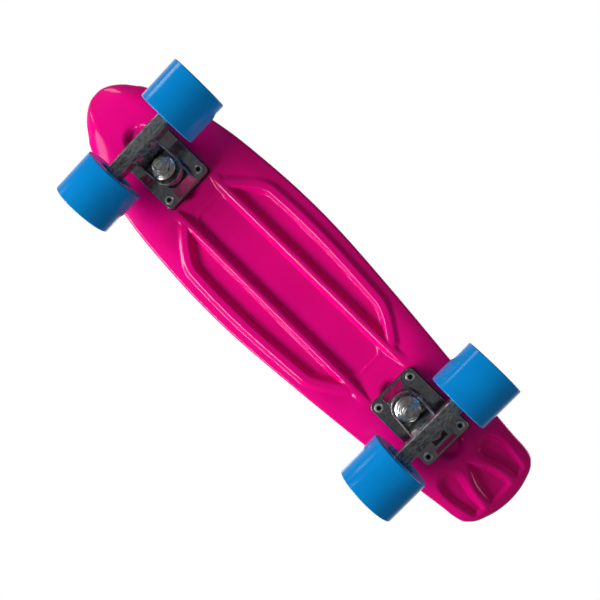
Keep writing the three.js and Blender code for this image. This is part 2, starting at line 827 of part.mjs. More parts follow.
// Wheel: a wide cylinder with rounded edges, a bearing seat from each side and a shoulder between.
// It is turned so that it stands on one of its flats.
function wheel() {
  const outer = wheelDiameter / 2;
  const face = wheelWidth / 2;
  const shoulder = spacerLength / 2;
  const seat = bearingDiameter / 2 + fitGap;
  const seatEnd = shoulder + fitGap + bearingWidth;
  const half = [
    [wheelShoulder / 2, shoulder],
    [seat, shoulder],
    [seat, seatEnd],
    [hubRecessDiameter / 2, face],
    [outer - wheelEdge, face],
    [outer, face - wheelEdge],
  ];
  const mirrored = half.map(([radius, height]) => [radius, -height]).reverse();
  const body = turnedRing([...half, ...mirrored], wheelSides).rotateZ(wheelStep / 2);
  return solid(body.rotateX(-Math.PI / 2).translate(0, wheelCentre, 0));
}

// One truck in its own frame: its axle runs along y above x = 0, outboard is +x.
function truck(end) {
  const group = new THREE.Group();
  group.add(piece(`${end}_riser_pad`, riserPad(), blackPlastic));
  group.add(piece(`${end}_baseplate`, baseplate(), castAluminium));
  group.add(piece(`${end}_pivot_cup`, pivotCup(), blackUrethane));
  group.add(piece(`${end}_hanger`, hanger(), castAluminium));
  const line = new THREE.Group();
  line.position.set(-kingpinInboard, 0, ringLevel);
  line.rotation.y = -kingpinLean;
  line.add(piece(`${end}_kingpin`, kingpin(), zincSteel));
  line.add(piece(`${end}_kingpin_nut`, kingpinNut(), zincSteel));
  line.add(piece(`${end}_upper_cup_washer`, cupWasher(plateSeat - fitGap, -1), zincSteel));
  line.add(piece(`${end}_lower_cup_washer`, cupWasher(lowerWasherHigh - cupWasherThickness, 1), zincSteel));
  const upper = bushing(upperBushingDiameter, upperBushingLow, upperBushingHigh);
  line.add(piece(`${end}_upper_bushing`, upper, blackUrethane));
  const lower = bushing(lowerBushingDiameter, lowerBushingHigh, lowerBushingLow);
  line.add(piece(`${end}_lower_bushing`, lower, blackUrethane));
  group.add(line);
  screwPlaces.forEach((place, i) => {
    const screw = piece(`${end}_mounting_screw_${i + 1}`, mountingScrew(), darkSteel);
    screw.position.copy(place);
    group.add(screw);
  });
  return group;
}

// The axle of one truck with its two wheels.
function wheelset(end) {
  const group = new THREE.Group();
  group.add(piece(`${end}_axle`, axle(), zincSteel));
  const bore = axleDiameter / 2 + fitGap;
  const bearingRadius = bearingDiameter / 2;
  for (const side of ["left", "right"]) {
    const name = `${end}_${side}`;
    const half = new THREE.Group();
    half.rotation.z = side === "left" ? 0 : Math.PI;
    const ring = (label, outer, from, width, sides, material) =>
      half.add(piece(`${name}_${label}`, axleRing(bore, outer, from, from + width, sides), material));
    half.add(piece(`${name}_wheel`, wheel(), wheelRubber));
    ring("inner_bearing", bearingRadius, innerBearing, bearingWidth, bearingSides, zincSteel);
    ring("outer_bearing", bearingRadius, outerBearing, bearingWidth, bearingSides, zincSteel);
    ring("bearing_spacer", spacerDiameter / 2, spacerStart, spacerLength, smallSides, zincSteel);
    ring("inner_washer", washerDiameter / 2, washerStart, washerThickness, smallSides, zincSteel);
    ring("outer_washer", washerDiameter / 2, outerWasher, washerThickness, smallSides, zincSteel);
    half.add(piece(`${name}_axle_nut`, axleNut(), zincSteel));
    group.add(half);
  }
  group.position.z = axleHeight;
  return group;
}

const board = new THREE.Group();
board.add(piece("deck", deck(), deckPlastic));
const ends = [
  ["front", frontAxle, 0],
  ["rear", rearAxle, Math.PI],
];
for (const [end, place, turn] of ends) {
  const mount = new THREE.Group();
  mount.add(truck(end));
  mount.rotation.z = turn;
  mount.position.x = place;
  board.add(mount);
  const set = wheelset(end);
  set.position.x = place;
  board.add(set);
}

export default board;
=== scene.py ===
# %% [markdown]
# # A cruiser skateboard, seen from below
#
# The board is a small moulded plastic cruiser: a pink deck with ribs and pockets underneath,
# two cast trucks that lean to steer it, and four wide blue wheels. The solid model that comes
# with this lesson already has the right sizes, so every piece here is made at its true place
# in the same frame: nose along +X, the rider's left along +Y, and the floor at z = 0.
# Bodies that turn or lean are empties, and each finished piece but the bushings rides on one of them.

# %% Load the frame
import math

import bmesh
import bpy
import numpy as np
from mathutils import Matrix, Vector


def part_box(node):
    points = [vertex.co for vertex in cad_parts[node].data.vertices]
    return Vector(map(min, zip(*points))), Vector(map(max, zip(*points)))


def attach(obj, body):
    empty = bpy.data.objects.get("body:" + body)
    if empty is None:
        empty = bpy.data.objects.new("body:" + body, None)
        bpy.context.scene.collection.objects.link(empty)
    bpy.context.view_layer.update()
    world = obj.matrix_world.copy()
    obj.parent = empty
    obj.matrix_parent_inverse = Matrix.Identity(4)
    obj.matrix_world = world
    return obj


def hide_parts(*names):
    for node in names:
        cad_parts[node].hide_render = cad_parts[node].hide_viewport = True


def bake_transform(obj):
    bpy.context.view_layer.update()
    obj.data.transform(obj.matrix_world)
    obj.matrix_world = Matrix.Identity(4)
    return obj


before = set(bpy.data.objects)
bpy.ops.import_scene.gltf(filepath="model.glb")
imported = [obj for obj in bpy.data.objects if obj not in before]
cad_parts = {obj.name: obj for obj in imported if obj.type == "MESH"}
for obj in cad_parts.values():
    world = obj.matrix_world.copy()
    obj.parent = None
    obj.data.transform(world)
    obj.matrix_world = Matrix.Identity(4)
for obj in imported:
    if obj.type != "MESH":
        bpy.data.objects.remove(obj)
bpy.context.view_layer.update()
MM = 0.001

# %% [markdown]
# ## Helpers for finishing a mesh
#
# Lengths on a drawing of a skateboard are in millimetres, while Blender counts in metres.
# All shapes below are drawn in millimetres, and one function scales a finished mesh, shades
# it smooth, gives it its material and hands it to its body. A bushing, given two bodies
# instead, is left in place on none. A Weighted Normal modifier keeps broad faces flat in the
# shading, so that only the narrow bevels between them catch the light.

# %% Finish a piece
SHARP_ANGLE = math.radians(40)


def finish(name, shape, body, material, nodes, weighted=True, inner=None):
    """Turns a bmesh drawn in millimetres into a piece; a body's name attaches it, else it stays put.
    """
    bmesh.ops.scale(shape, vec=(MM, MM, MM), verts=shape.verts)
    mesh = bpy.data.meshes.new(name)
    shape.to_mesh(mesh)
    shape.free()
    mesh.shade_smooth()
    mesh.set_sharp_from_angle(angle=SHARP_ANGLE)
    mesh.materials.append(material)
    if inner:
        mesh.materials.append(inner)
    piece = bpy.data.objects.new(name, mesh)
    bpy.context.scene.collection.objects.link(piece)
    if weighted:
        shading = piece.modifiers.new("Weighted normals", "WEIGHTED_NORMAL")
        shading.keep_sharp = True
    if isinstance(body, str):
        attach(piece, body)
    else:
        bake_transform(piece)
    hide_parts(*nodes)
    return piece


print("edges over", round(math.degrees(SHARP_ANGLE)), "degrees stay sharp")

# %% [markdown]
# ## Helpers for shaping a mesh
#
# Most metal and urethane parts of a skateboard are turned or cast, so three operators do most
# of the work: spin turns a profile as a lathe does, extrude grows a loop of edges, and bevel
# takes off the sharp edges that no real part has.

# %% Turn, extrude and bevel
MERGE_DISTANCE = 0.001
POINT, EDGE, FACE = bmesh.types.BMVert, bmesh.types.BMEdge, bmesh.types.BMFace


def only(kind, items):
    """The points, the edges or the faces among what an operator returns."""
    return [item for item in items if isinstance(item, kind)]


def clean(shape):
    """Merges doubled points and turns every face outwards."""
    bmesh.ops.remove_doubles(shape, verts=shape.verts, dist=MERGE_DISTANCE)
    bmesh.ops.recalc_face_normals(shape, faces=shape.faces)


def turned(profile, sides, closed=True):
    """Turns a profile of (radius, height) points about z, as on a lathe."""
    shape = bmesh.new()
    points = [shape.verts.new((radius, 0, height)) for radius, height in profile]
    pairs = list(zip(points, points[1:]))
    if closed:
        pairs.append((points[-1], points[0]))
    lines = [shape.edges.new(pair) for pair in pairs]
    bmesh.ops.spin(
        shape,
        geom=points + lines,
        cent=(0, 0, 0),
        axis=(0, 0, 1),
        angle=2 * math.pi,
        steps=sides,
        use_merge=True,
    )
    clean(shape)
    return shape


def mirrored(profile):
    """Half of a profile, followed by its mirror image over z = 0."""
    return profile + [(radius, -height) for radius, height in reversed(profile)]


def extruded_loop(shape, edges):
    """Extrudes a loop of edges; returns its new points and the new loop."""
    made = bmesh.ops.extrude_edge_only(shape, edges=edges)["geom"]
    fresh = set(only(POINT, made))
    return fresh, [edge for edge in only(EDGE, made) if fresh.issuperset(edge.verts)]


def bevel(shape, edges, width, segments, clamp=False):
    """Rounds off edges; the new faces take the material of those beside them."""
    bmesh.ops.bevel(
        shape,
        geom=edges,
        offset=width,
        segments=segments,
        profile=0.5,
        affect="EDGES",
        clamp_overlap=clamp,
        material=-1,
    )


def soften(shape, width, segments=2):
    """Bevels every sharp edge of a shape."""
    sharp = [e for e in shape.edges if e.is_manifold and e.calc_face_angle(0) > SHARP_ANGLE / 2]
    bevel(shape, sharp, width, segments, clamp=True)


print("points closer than", MERGE_DISTANCE, "mm are merged")

# %% [markdown]
# ## Where the trucks stand
#
# Both trucks are the same casting, turned round so that each kingpin leans towards the middle
# of the board. A truck is drawn once in its own frame, with the axle over x = 0 and +x towards
# the board's end, and is then placed twice by a matrix. FIT is the small gap that keeps parts
# which lie on each other from cutting into one another.

# %% Read the places of the axles
AXLE_BOX = {end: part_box(f"{end}_axle") for end in ("front", "rear")}
AXLE_X = {end: (low.x + high.x) / 2 / MM for end, (low, high) in AXLE_BOX.items()}
AXLE_HEIGHT = (AXLE_BOX["front"][0].z + AXLE_BOX["front"][1].z) / 2 / MM
OUTBOARD = {"front": 1, "rear": -1}
TRUCK_PLACE = {
    end: Matrix.Translation((AXLE_X[end], 0, 0)) @ Matrix.Rotation(turn, 4, "Z")
    for end, turn in (("front", 0), ("rear", math.pi))
}
FIT = 0.3
print("axles at x", AXLE_X, "height", round(AXLE_HEIGHT, 2))

# %% [markdown]
# ## Camera
#
# The photograph looks up at the underside from below, with the nose at the upper left. The
# camera stands about 0.7 m under the board and a little behind its middle. Its direction and
# its upward side are given as vectors, and the third axis follows from them.

# %% Place the camera
CAMERA_PLACE = Vector((-90.0, 59.7, -666.9)) * MM
CAMERA_BACK = Vector((-0.1048, 0.0811, -0.9912)).normalized()
CAMERA_UP = Vector((0.6982, 0.7157, -0.0152))
LENS = 46.78
CLIP_START = 0.01

camera_right = CAMERA_UP.cross(CAMERA_BACK).normalized()
camera_up = CAMERA_BACK.cross(camera_right)
camera_axes = Matrix((camera_right, camera_up, CAMERA_BACK)).transposed().to_4x4()
camera = bpy.data.objects.new("camera", bpy.data.cameras.new("camera"))
camera.data.lens = LENS
camera.data.clip_start = CLIP_START
camera.matrix_world = Matrix.Translation(CAMERA_PLACE) @ camera_axes
bpy.context.scene.collection.objects.link(camera)
bpy.context.scene.camera = camera
bpy.context.scene.view_settings.view_transform = "Standard"
print("camera at", tuple(round(x, 3) for x in CAMERA_PLACE))

# %% [markdown]
# ## Lights
#
# Glossy plastic is photographed under large soft boxes, because it mirrors whatever lights it.
# The key box stands low along the rider's right side, so the pocket walls that face it are
# bright and the opposite ones dark. A box below the nose gives the nose its pale patch, and
# two small ones just ahead of it draw the narrow stripes along the wheels. The last two lamps
# stand above the board and light its top in other views. None of them shows to the camera.

# %% Light the scene
LAMPS = {
    "key": ((680, -1620, -900), (1800, 560), 50.0),
    "nose_box": ((1280, -760, -740), (600, 600), 5.0),
    "stripe_left": ((1000, 90, -70), (160, 240), 0.5),
    "stripe_right": ((1000, -262, -70), (40, 240), 0.16),
    "overhead": ((200, -300, 1500), (1400, 1400), 15.0),
    "back": ((-900, 900, 800), (900, 900), 8.0),
}
LAMP_AIM = Vector((0, 0, 60)) * MM

for name, (place, (width, height), power) in LAMPS.items():
    lamp = bpy.data.lights.new(name, "AREA")
    lamp.shape = "RECTANGLE"
    lamp.size = width * MM
    lamp.size_y = height * MM
    lamp.energy = power
    holder = bpy.data.objects.new(name, lamp)
    holder.location = Vector(place) * MM
    holder.rotation_euler = (LAMP_AIM - holder.location).to_track_quat("-Z", "Y").to_euler()
    holder.visible_camera = False
    bpy.context.scene.collection.objects.link(holder)
print("lamps:", ", ".join(LAMPS))

# %% [markdown]
# ## Shader nodes
#
# The background, the floor and every finish are small networks of nodes. Three short helpers
# add a node, join two nodes and go over from one shader to another, so that the cells below
# read as lists of what is joined to what.


# %% Helpers for shader nodes
def add(tree, kind, **entries):
    """Adds a shader node and sets its inputs, written with _ for a blank."""
    node = tree.nodes.new("ShaderNode" + kind)
    for entry, value in entries.items():
        node.inputs[entry.replace("_", " ")].default_value = value
    return node


def link(source, output, target, entry):
    """Joins an output of one node to an input of another."""
    source.id_data.links.new(source.outputs[output], target.inputs[entry])


def mix(source, output, first, second):
    """Goes over from one shader to another as a value goes from 0 to 1."""
    mixed = add(source.id_data, "MixShader")
    link(source, output, mixed, 0)
    link(first, 0, mixed, 1)
    link(second, 0, mixed, 2)
    return mixed


print("node helpers are ready")

# %% [markdown]
# ## Background
#
# The background is the plain white of a product page. The world has one colour for each kind
# of ray: the camera, and rays that pass through something clear, see white, and what lights
# the object stays low, so that a colour renders about as it is written. Glossy rays see a
# room that is dark below and white overhead, a little tilted. Metal has no colour of its own
# but what it mirrors, and without dark in the room it would look like white plastic.

# %% Paint the background
WHITE = (1, 1, 1, 1)
AMBIENT_LEVEL = 0.2
DARK_LEVEL = 0.1
WHITE_LEVEL = 1.0
HORIZON = (0.3, 0.9)
ROOM_LEAN = (0.2, -0.2, 1.0)

world = bpy.data.worlds.new("studio")
world.use_nodes = True
bpy.context.scene.world = world
tree = world.node_tree
tree.nodes.clear()
ambient = add(tree, "Background", Color=WHITE, Strength=AMBIENT_LEVEL)
backdrop = add(tree, "Background", Color=WHITE, Strength=WHITE_LEVEL)
room = add(tree, "Background", Color=WHITE)
direction = add(tree, "TexCoord")
height = add(tree, "VectorMath")
height.operation = "DOT_PRODUCT"
height.inputs[1].default_value = ROOM_LEAN
fade = add(
    tree, "MapRange", From_Min=HORIZON[0], From_Max=HORIZON[1], To_Min=DARK_LEVEL, To_Max=WHITE_LEVEL
)
link(direction, "Generated", height, 0)
link(height, "Value", fade, "Value")
link(fade, "Result", room, "Strength")
rays = add(tree, "LightPath")
seen = add(tree, "Math")
seen.operation = "MAXIMUM"
link(rays, "Is Camera Ray", seen, 0)
link(rays, "Is Transmission Ray", seen, 1)
lighting = mix(rays, "Is Glossy Ray", ambient, room)
link(mix(seen, 0, lighting, backdrop), 0, add(tree, "OutputWorld"), 0)
print("white backdrop, ambient level", AMBIENT_LEVEL)

# %% [markdown]
# ## Floor
#
# The floor is a pale matt sheet that fades into the white around it. It has to hold the
# shadows in views from above and yet leave the view from below free, so it is one-sided: only
# the camera sees it, and only from above.

# %% Lay the floor
FLOOR_HALF = 3.0
FLOOR_COLOUR = (0.92, 0.92, 0.92, 1)
FLOOR_FADE = (0.35, 1.1)

sheet = bmesh.new()
bmesh.ops.create_grid(sheet, x_segments=1, y_segments=1, size=FLOOR_HALF)
floor_mesh = bpy.data.meshes.new("floor")
sheet.to_mesh(floor_mesh)
sheet.free()
floor = bpy.data.objects.new("floor", floor_mesh)
bpy.context.scene.collection.objects.link(floor)
floor_paint = bpy.data.materials.new("studio_floor")
floor_paint.use_nodes = True
tree = floor_paint.node_tree
tree.nodes.clear()
place = add(tree, "TexCoord")
away = add(tree, "VectorMath")
away.operation = "LENGTH"
fade = add(tree, "MapRange", From_Min=FLOOR_FADE[0], From_Max=FLOOR_FADE[1])
link(place, "Object", away, 0)
link(away, "Value", fade, "Value")
matt = add(tree, "BsdfDiffuse", Color=FLOOR_COLOUR)
surface = mix(fade, "Result", matt, add(tree, "Emission", Color=WHITE))
above = add(tree, "Math")
above.operation = "SUBTRACT"
above.use_clamp = True
link(add(tree, "LightPath"), "Is Camera Ray", above, 0)
link(add(tree, "NewGeometry"), "Backfacing", above, 1)
one_sided = mix(above, 0, add(tree, "BsdfTransparent"), surface)
link(one_sided, 0, add(tree, "OutputMaterial"), 0)
floor_mesh.materials.append(floor_paint)
print("floor laid at z = 0")

# %% [markdown]
# ## Materials
#
# Every finish starts from the Principled shader. Its plain numbers are set on the shader
# itself, and what varies over the surface comes from noise in object coordinates, so the
# pattern is real size: a noise scale of 1000 has features of about a millimetre. The same
# noise can move the colour, the roughness and a fine bump, as one flaw does on a real part.

# %% Helpers for materials
NOISE_SPAN = (0.3, 0.7)
GRAIN = {"deck": 0.002, "wheel": 0.001, "casting": 0.05, "plate": 0.02, "zinc": 0.002, "rubber": 0.04}


def paint(name, colour, roughness, metallic=0.0, specular=0.5):
    """A new material; returns it and its Principled shader."""
    material = bpy.data.materials.new(name)
    material.use_nodes = True
    shader = material.node_tree.nodes["Principled BSDF"]
    shader.inputs["Base Color"].default_value = (*colour, 1)
    shader.inputs["Roughness"].default_value = roughness
    shader.inputs["Metallic"].default_value = metallic
    shader.inputs["Specular IOR Level"].default_value = specular
    return material, shader


def noise_for(shader, scale, detail, stretch=(1, 1, 1), distortion=0.0):
    """Noise in object coordinates, stretched along an axis where the finish runs one way."""
    tree = shader.id_data
    mapping = add(tree, "Mapping", Scale=stretch)
    noise = add(tree, "TexNoise", Scale=scale, Detail=detail, Distortion=distortion)
    link(add(tree, "TexCoord"), "Object", mapping, "Vector")
    link(mapping, "Vector", noise, "Vector")
    return noise


def vary_colour(shader, noise, low, high, start=0.35, end=0.65):
    """Lets noise move the colour between two values."""
    ramp = add(shader.id_data, "ValToRGB")
    for stop, place, colour in zip(ramp.color_ramp.elements, (start, end), (low, high)):
        stop.position = place
        stop.color = (*colour, 1)
    link(noise, "Fac", ramp, "Fac")
    link(ramp, "Color", shader, "Base Color")


def vary_roughness(shader, noise, low, high):
    """Lets noise move the roughness between two values."""
    start, end = NOISE_SPAN
    span = add(shader.id_data, "MapRange", From_Min=start, From_Max=end, To_Min=low, To_Max=high)
    link(noise, "Fac", span, "Value")
    link(span, "Result", shader, "Roughness")


def raise_grain(shader, noise, height):
    """Noise as bumps of the given height in millimetres."""
    bump = add(shader.id_data, "Bump", Strength=1.0, Distance=height * MM)
    link(noise, "Fac", bump, "Height")
    link(bump, "Normal", shader, "Normal")


print("grain heights in mm:", GRAIN)

# %% [markdown]
# ### Deck plastic
#
# The deck is moulded in one pink, coloured through. Melt that cools unevenly leaves faint
# clouds in the colour and a shine that is not quite even, while the polished mould leaves
# hardly any grain. A pink of full strength with no green in it gives the depth of the dye.

# %% Mix the deck plastic
deck_plastic, shader = paint("deck_pink_plastic", (0.80, 0.0, 0.21), 0.12, specular=0.25)
vary_colour(shader, noise_for(shader, 18, 2), (0.77, 0.0, 0.2), (0.83, 0.0, 0.22))
vary_roughness(shader, noise_for(shader, 60, 2), 0.1, 0.14)
raise_grain(shader, noise_for(shader, 300, 2), GRAIN["deck"])
print("made", deck_plastic.name)

# %% [markdown]
# ### Wheel urethane
#
# Wheels are cast in blue urethane and trued on a lathe. New ones are smooth and shine softly,
# so the noise stays faint in all three: colour, roughness and grain.

# %% Mix the wheel urethane
wheel_urethane, shader = paint("wheel_blue_urethane", (0.0, 0.235, 0.63), 0.12, specular=0.25)
vary_colour(shader, noise_for(shader, 30, 2), (0.0, 0.225, 0.61), (0.0, 0.245, 0.65))
film = noise_for(shader, 60, 2)
vary_roughness(shader, film, 0.12, 0.15)
raise_grain(shader, film, GRAIN["wheel"])
print("made", wheel_urethane.name)

# %% [markdown]
# ### Truck metal
#
# The hangers are left as cast: mottled grey, dull in the dark spots and brighter where the
# tumbling barrel rubbed them. The baseplates are polished flat, so their noise is finer and
# their roughness low enough to mirror the deck. Both are metallic, and the dark tints stand
# for the pores and the oxide of the casting.

# %% Mix the truck metals
cast_metal, shader = paint("truck_cast_aluminium", (0.42, 0.43, 0.44), 0.35, 1.0)
mottle = noise_for(shader, 520, 6, stretch=(1, 0.45, 1), distortion=0.5)
vary_colour(shader, mottle, (0.16, 0.17, 0.18), (0.56, 0.57, 0.58), start=0.38, end=0.62)
vary_roughness(shader, mottle, 0.45, 0.25)
raise_grain(shader, mottle, GRAIN["casting"])

plate_metal, shader = paint("truck_polished_plate", (0.45, 0.46, 0.48), 0.1, 1.0)
mottle = noise_for(shader, 260, 5, distortion=0.6)
vary_colour(shader, mottle, (0.36, 0.37, 0.39), (0.54, 0.55, 0.57))
vary_roughness(shader, mottle, 0.16, 0.08)
raise_grain(shader, mottle, GRAIN["plate"])
print("made", cast_metal.name, "and", plate_metal.name)

# %% [markdown]
# ### Steel
#
# Kingpins, nuts, axles and washers are plated with bright zinc, and bearings are ground. The
# mounting screws are plainer and duller. Their sockets get a separate near-black material on
# their faces: painted shade, standing in for the shadow in so small a hole.

# %% Mix the steels
zinc_steel, shader = paint("bright_zinc_steel", (0.62, 0.62, 0.6), 0.16, 1.0)
film = noise_for(shader, 260, 3)
vary_colour(shader, film, (0.64, 0.64, 0.62), (0.8, 0.8, 0.78))
vary_roughness(shader, film, 0.24, 0.34)
raise_grain(shader, film, GRAIN["zinc"])

bearing_steel, shader = paint("bearing_ground_steel", (0.6, 0.6, 0.61), 0.15, 1.0)
film = noise_for(shader, 800, 3)
vary_colour(shader, film, (0.52, 0.52, 0.53), (0.68, 0.68, 0.69))
vary_roughness(shader, film, 0.1, 0.2)

screw_steel, shader = paint("screw_steel", (0.75, 0.75, 0.74), 0.4, 1.0)
film = noise_for(shader, 500, 3)
vary_colour(shader, film, (0.66, 0.66, 0.65), (0.84, 0.84, 0.83))
vary_roughness(shader, film, 0.32, 0.46)

# Painted shade: a near-black for the inside of a screw socket, in place of its shadow.
socket_shade_paint, shader = paint("socket_painted_shade", (0.012, 0.012, 0.014), 0.5)
film = noise_for(shader, 500, 3)
vary_colour(shader, film, (0.008, 0.008, 0.01), (0.02, 0.02, 0.022))
vary_roughness(shader, film, 0.4, 0.6)
print("made", zinc_steel.name, bearing_steel.name, screw_steel.name, "and", socket_shade_paint.name)

# %% [markdown]
# ### Rubber and bushing urethane
#
# The risers are matt black rubber with a fine grain. The bushings and the pivot cups are dark
# urethane, which is smoother, so light slides along it in soft streaks.

# %% Mix the rubber and the urethane
black_rubber, shader = paint("riser_black_rubber", (0.012, 0.012, 0.014), 0.6)
film = noise_for(shader, 300, 4)
vary_colour(shader, film, (0.008, 0.008, 0.009), (0.022, 0.022, 0.024))
vary_roughness(shader, film, 0.5, 0.7)
raise_grain(shader, film, GRAIN["rubber"])

bushing_urethane, shader = paint("bushing_dark_urethane", (0.03, 0.03, 0.034), 0.35)
film = noise_for(shader, 200, 3)
vary_colour(shader, film, (0.022, 0.022, 0.025), (0.045, 0.045, 0.05))
vary_roughness(shader, film, 0.28, 0.45)
print("made", black_rubber.name, "and", bushing_urethane.name)

# %% [markdown]
# ## Deck outline
#
# The deck is a long pointed oval with a blunt tail. A short list of shares of its length and
# width gives points on one half of the outline, and a Catmull-Rom curve runs smoothly through
# them, which keeps the points few and easy to move.

# %% Draw the outline
HALF_LENGTH = 291.5
HALF_WIDTH = 74.5
OUTLINE_SHARES = [
    (-1, 0), (-0.997, 0.15), (-0.989, 0.29), (-0.97, 0.475), (-0.95, 0.565), (-0.93, 0.617),
    (-0.891, 0.645), (-0.815, 0.665), (-0.532, 0.778), (-0.256, 0.892), (0.019, 0.984),
    (0.226, 1), (0.432, 0.957), (0.57, 0.897), (0.707, 0.785), (0.858, 0.577), (0.903, 0.477),
    (0.943, 0.372), (0.973, 0.26), (0.99, 0.165), (0.998, 0.09), (1, 0),
]
CURVE_STEPS = 24


def catmull_rom(points, before, after):
    """A smooth curve through points; before and after lead in and out of it."""
    padded = np.array([before, *points, after], float)
    t = np.linspace(0, 1, CURVE_STEPS, endpoint=False)[:, None]
    spans = []
    for p0, p1, p2, p3 in zip(padded, padded[1:], padded[2:], padded[3:]):
        spans.append(
            p1
            + t * (p2 - p0) / 2
            + t**2 * (2 * p0 - 5 * p1 + 4 * p2 - p3) / 2
            + t**3 * (3 * p1 - p0 - 3 * p2 + p3) / 2
        )
    return np.vstack([*spans, padded[-2]])


def along(curve):
    """Distance from the start at each point of a curve."""
    return np.concatenate([[0], np.cumsum(np.linalg.norm(np.diff(curve, axis=0), axis=1))])


def half_width_at(x):
    """Half width of the deck at a place along it."""
    return np.interp(x, outline[:, 0], outline[:, 1])


shares = np.array(OUTLINE_SHARES) * (HALF_LENGTH, HALF_WIDTH)
outline = catmull_rom(shares, shares[1] * (1, -1), shares[-2] * (1, -1))
tangent = np.gradient(outline, axis=0)
tangent /= np.linalg.norm(tangent, axis=1)[:, None]
outward = np.column_stack([-tangent[:, 1], tangent[:, 0]])
print("outline points", len(outline), "length", round(along(outline)[-1], 1))

# %% [markdown]
# ## Section of the deck
#
# The underside is one height field: each place in the outline has one height, counted upwards
# from the pad that carries the trucks. The pad is flat and falls away in a crown towards the
# rim. The tail kicks up behind its truck and the nose lifts a little, each on a soft power
# curve, as a board has no crease there.

# %% Shape the bare deck
PAD_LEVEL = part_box("front_riser_pad")[1].z / MM + FIT
DECK_THICKNESS = 12.5
CROWN_HEIGHT = 5.0
CROWN_RUN = 36.0
RIM_RADIUS = 3.4
PAD_HALF_WIDTH = 30.0
PAD_SHARE = 0.5
LEAST_RUN = 0.1
NOSE_RISE = 12.0
TAIL_RISE = 28.0
KICK_POWER = 1.5
KICK_SETBACK = 30.5
TAIL_KICK = AXLE_X["rear"] - KICK_SETBACK
NOSE_KICK = AXLE_X["front"] + KICK_SETBACK


def rise(x):
    """Height that the kicked tail and the lifted nose add to the flat deck."""
    behind = np.clip((TAIL_KICK - x) / (TAIL_KICK + HALF_LENGTH), 0, None)
    ahead = np.clip((x - NOSE_KICK) / (HALF_LENGTH - NOSE_KICK), 0, None)
    return TAIL_RISE * behind**KICK_POWER + NOSE_RISE * ahead**KICK_POWER


def crown(x, across, half):
    """The underside without its ribs and pockets, falling away towards the rim."""
    flat = np.minimum(PAD_HALF_WIDTH, PAD_SHARE * half)
    side = np.clip((across - flat) / np.clip(half - RIM_RADIUS - flat, LEAST_RUN, None), 0, 1)
    tip = 1 - np.clip((HALF_LENGTH - RIM_RADIUS - np.abs(x)) / CROWN_RUN, 0, 1)
    return CROWN_HEIGHT * (1 - (1 - side**2) * (1 - tip**2))


print("pad level", round(PAD_LEVEL, 3), "kicks start at", TAIL_KICK, NOSE_KICK)

# %% [markdown]
# ## Walls of the pockets
#
# A moulded pocket has drafted walls, so that the board leaves its mould: a wall rolls over the
# shoulder of a rib, runs down straight, and meets the floor in a small round foot. All three
# come from the distance to the pocket's rim, so every pocket needs nothing but its rim line.

# %% Helpers for walls
SHOULDER = 2.4
FOOT = 0.3


def smoothstep(share):
    """Goes from 0 to 1 with a soft start and end."""
    held = np.clip(share, 0, 1)
    return held * held * (3 - 2 * held)


def softer_min(a, b, reach):
    """The lower of two heights, with the corner between them rounded off."""
    near = np.clip(reach - np.abs(a - b), 0, None)
    return np.minimum(a, b) - near**2 / (4 * reach)


def wall_under(inward, slope):
    """Depth of a wall that rolls over a rib's shoulder and then runs down straight."""
    rolled = (np.clip(inward, -SHOULDER, SHOULDER) + SHOULDER) ** 2 / (4 * SHOULDER)
    return slope * np.where(inward > SHOULDER, inward, rolled)


def pressed(height, depth, wall):
    """Presses a pocket with the given wall into the height field."""
    cut = softer_min(wall, np.maximum(depth - height, 0), FOOT)
    return height + np.maximum(cut, 0)


def rounded_box(x, y, centre, half_size, corner):
    """Distance inwards from the rim of a rectangle with round corners."""
    over_x = np.abs(x - centre) - (half_size[0] - corner)
    over_y = np.abs(y) - (half_size[1] - corner)
    outside = np.hypot(np.clip(over_x, 0, None), np.clip(over_y, 0, None))
    return corner - outside - np.minimum(np.maximum(over_x, over_y), 0)


def distance_to(curve, x, y):
    """Distance from each point to a line of short straight steps."""
    nearest = np.full(len(x), np.inf)
    for (ax, ay), (bx, by) in zip(curve, curve[1:]):
        run = (bx - ax) ** 2 + (by - ay) ** 2
        share = np.clip(((x - ax) * (bx - ax) + (y - ay) * (by - ay)) / run, 0, 1)
        off_x, off_y = x - ax - share * (bx - ax), y - ay - share * (by - ay)
        nearest = np.minimum(nearest, np.hypot(off_x, off_y))
    return nearest


print("walls roll over", SHOULDER, "mm of shoulder")

# %% [markdown]
# ## Ribs
#
# Ribs stiffen the thin board. Two straight ones stand between the middle channel and the side
# pockets, and at both ends they run on towards the trucks as horns, because the land beside
# them is set back there. Two outer ribs follow the edge of the board and bend in at both ends
# until they meet the straight ones. Each outer rib is one middle line with a crest round it.

# %% Raise the ribs
POCKET_DEPTH = 6.5
STRAIGHT_RIB_EDGE = 28.8
STRAIGHT_RIB_DRAFT = 7.0
STRAIGHT_RIB_SLOPE = POCKET_DEPTH / STRAIGHT_RIB_DRAFT
HORN_STEP = 3.0
HORN_FADE = 30.0
OUTER_RIB_INSETS = (15.5, 19.0)
OUTER_RIB_CREST = 7.5
OUTER_RIB_FLARE = 5.0
OUTER_RIB_LEVEL = 0.3
OUTER_RIB_DRAFT = 4.4
OUTER_RIB_SETBACKS = (77.5, 70.0)
OUTER_RIB_BEND = 36.0
OUTER_RIB_POWER = 1.4
OUTER_RIB_JOIN = 2.0
RIB_STEPS = 240
PLATE_SETBACK = 51.0
RIB_REAR = AXLE_X["rear"] + OUTER_RIB_SETBACKS[0]
RIB_FRONT = AXLE_X["front"] - OUTER_RIB_SETBACKS[1]
PLATE_REAR = AXLE_X["rear"] + PLATE_SETBACK
PLATE_FRONT = AXLE_X["front"] - PLATE_SETBACK


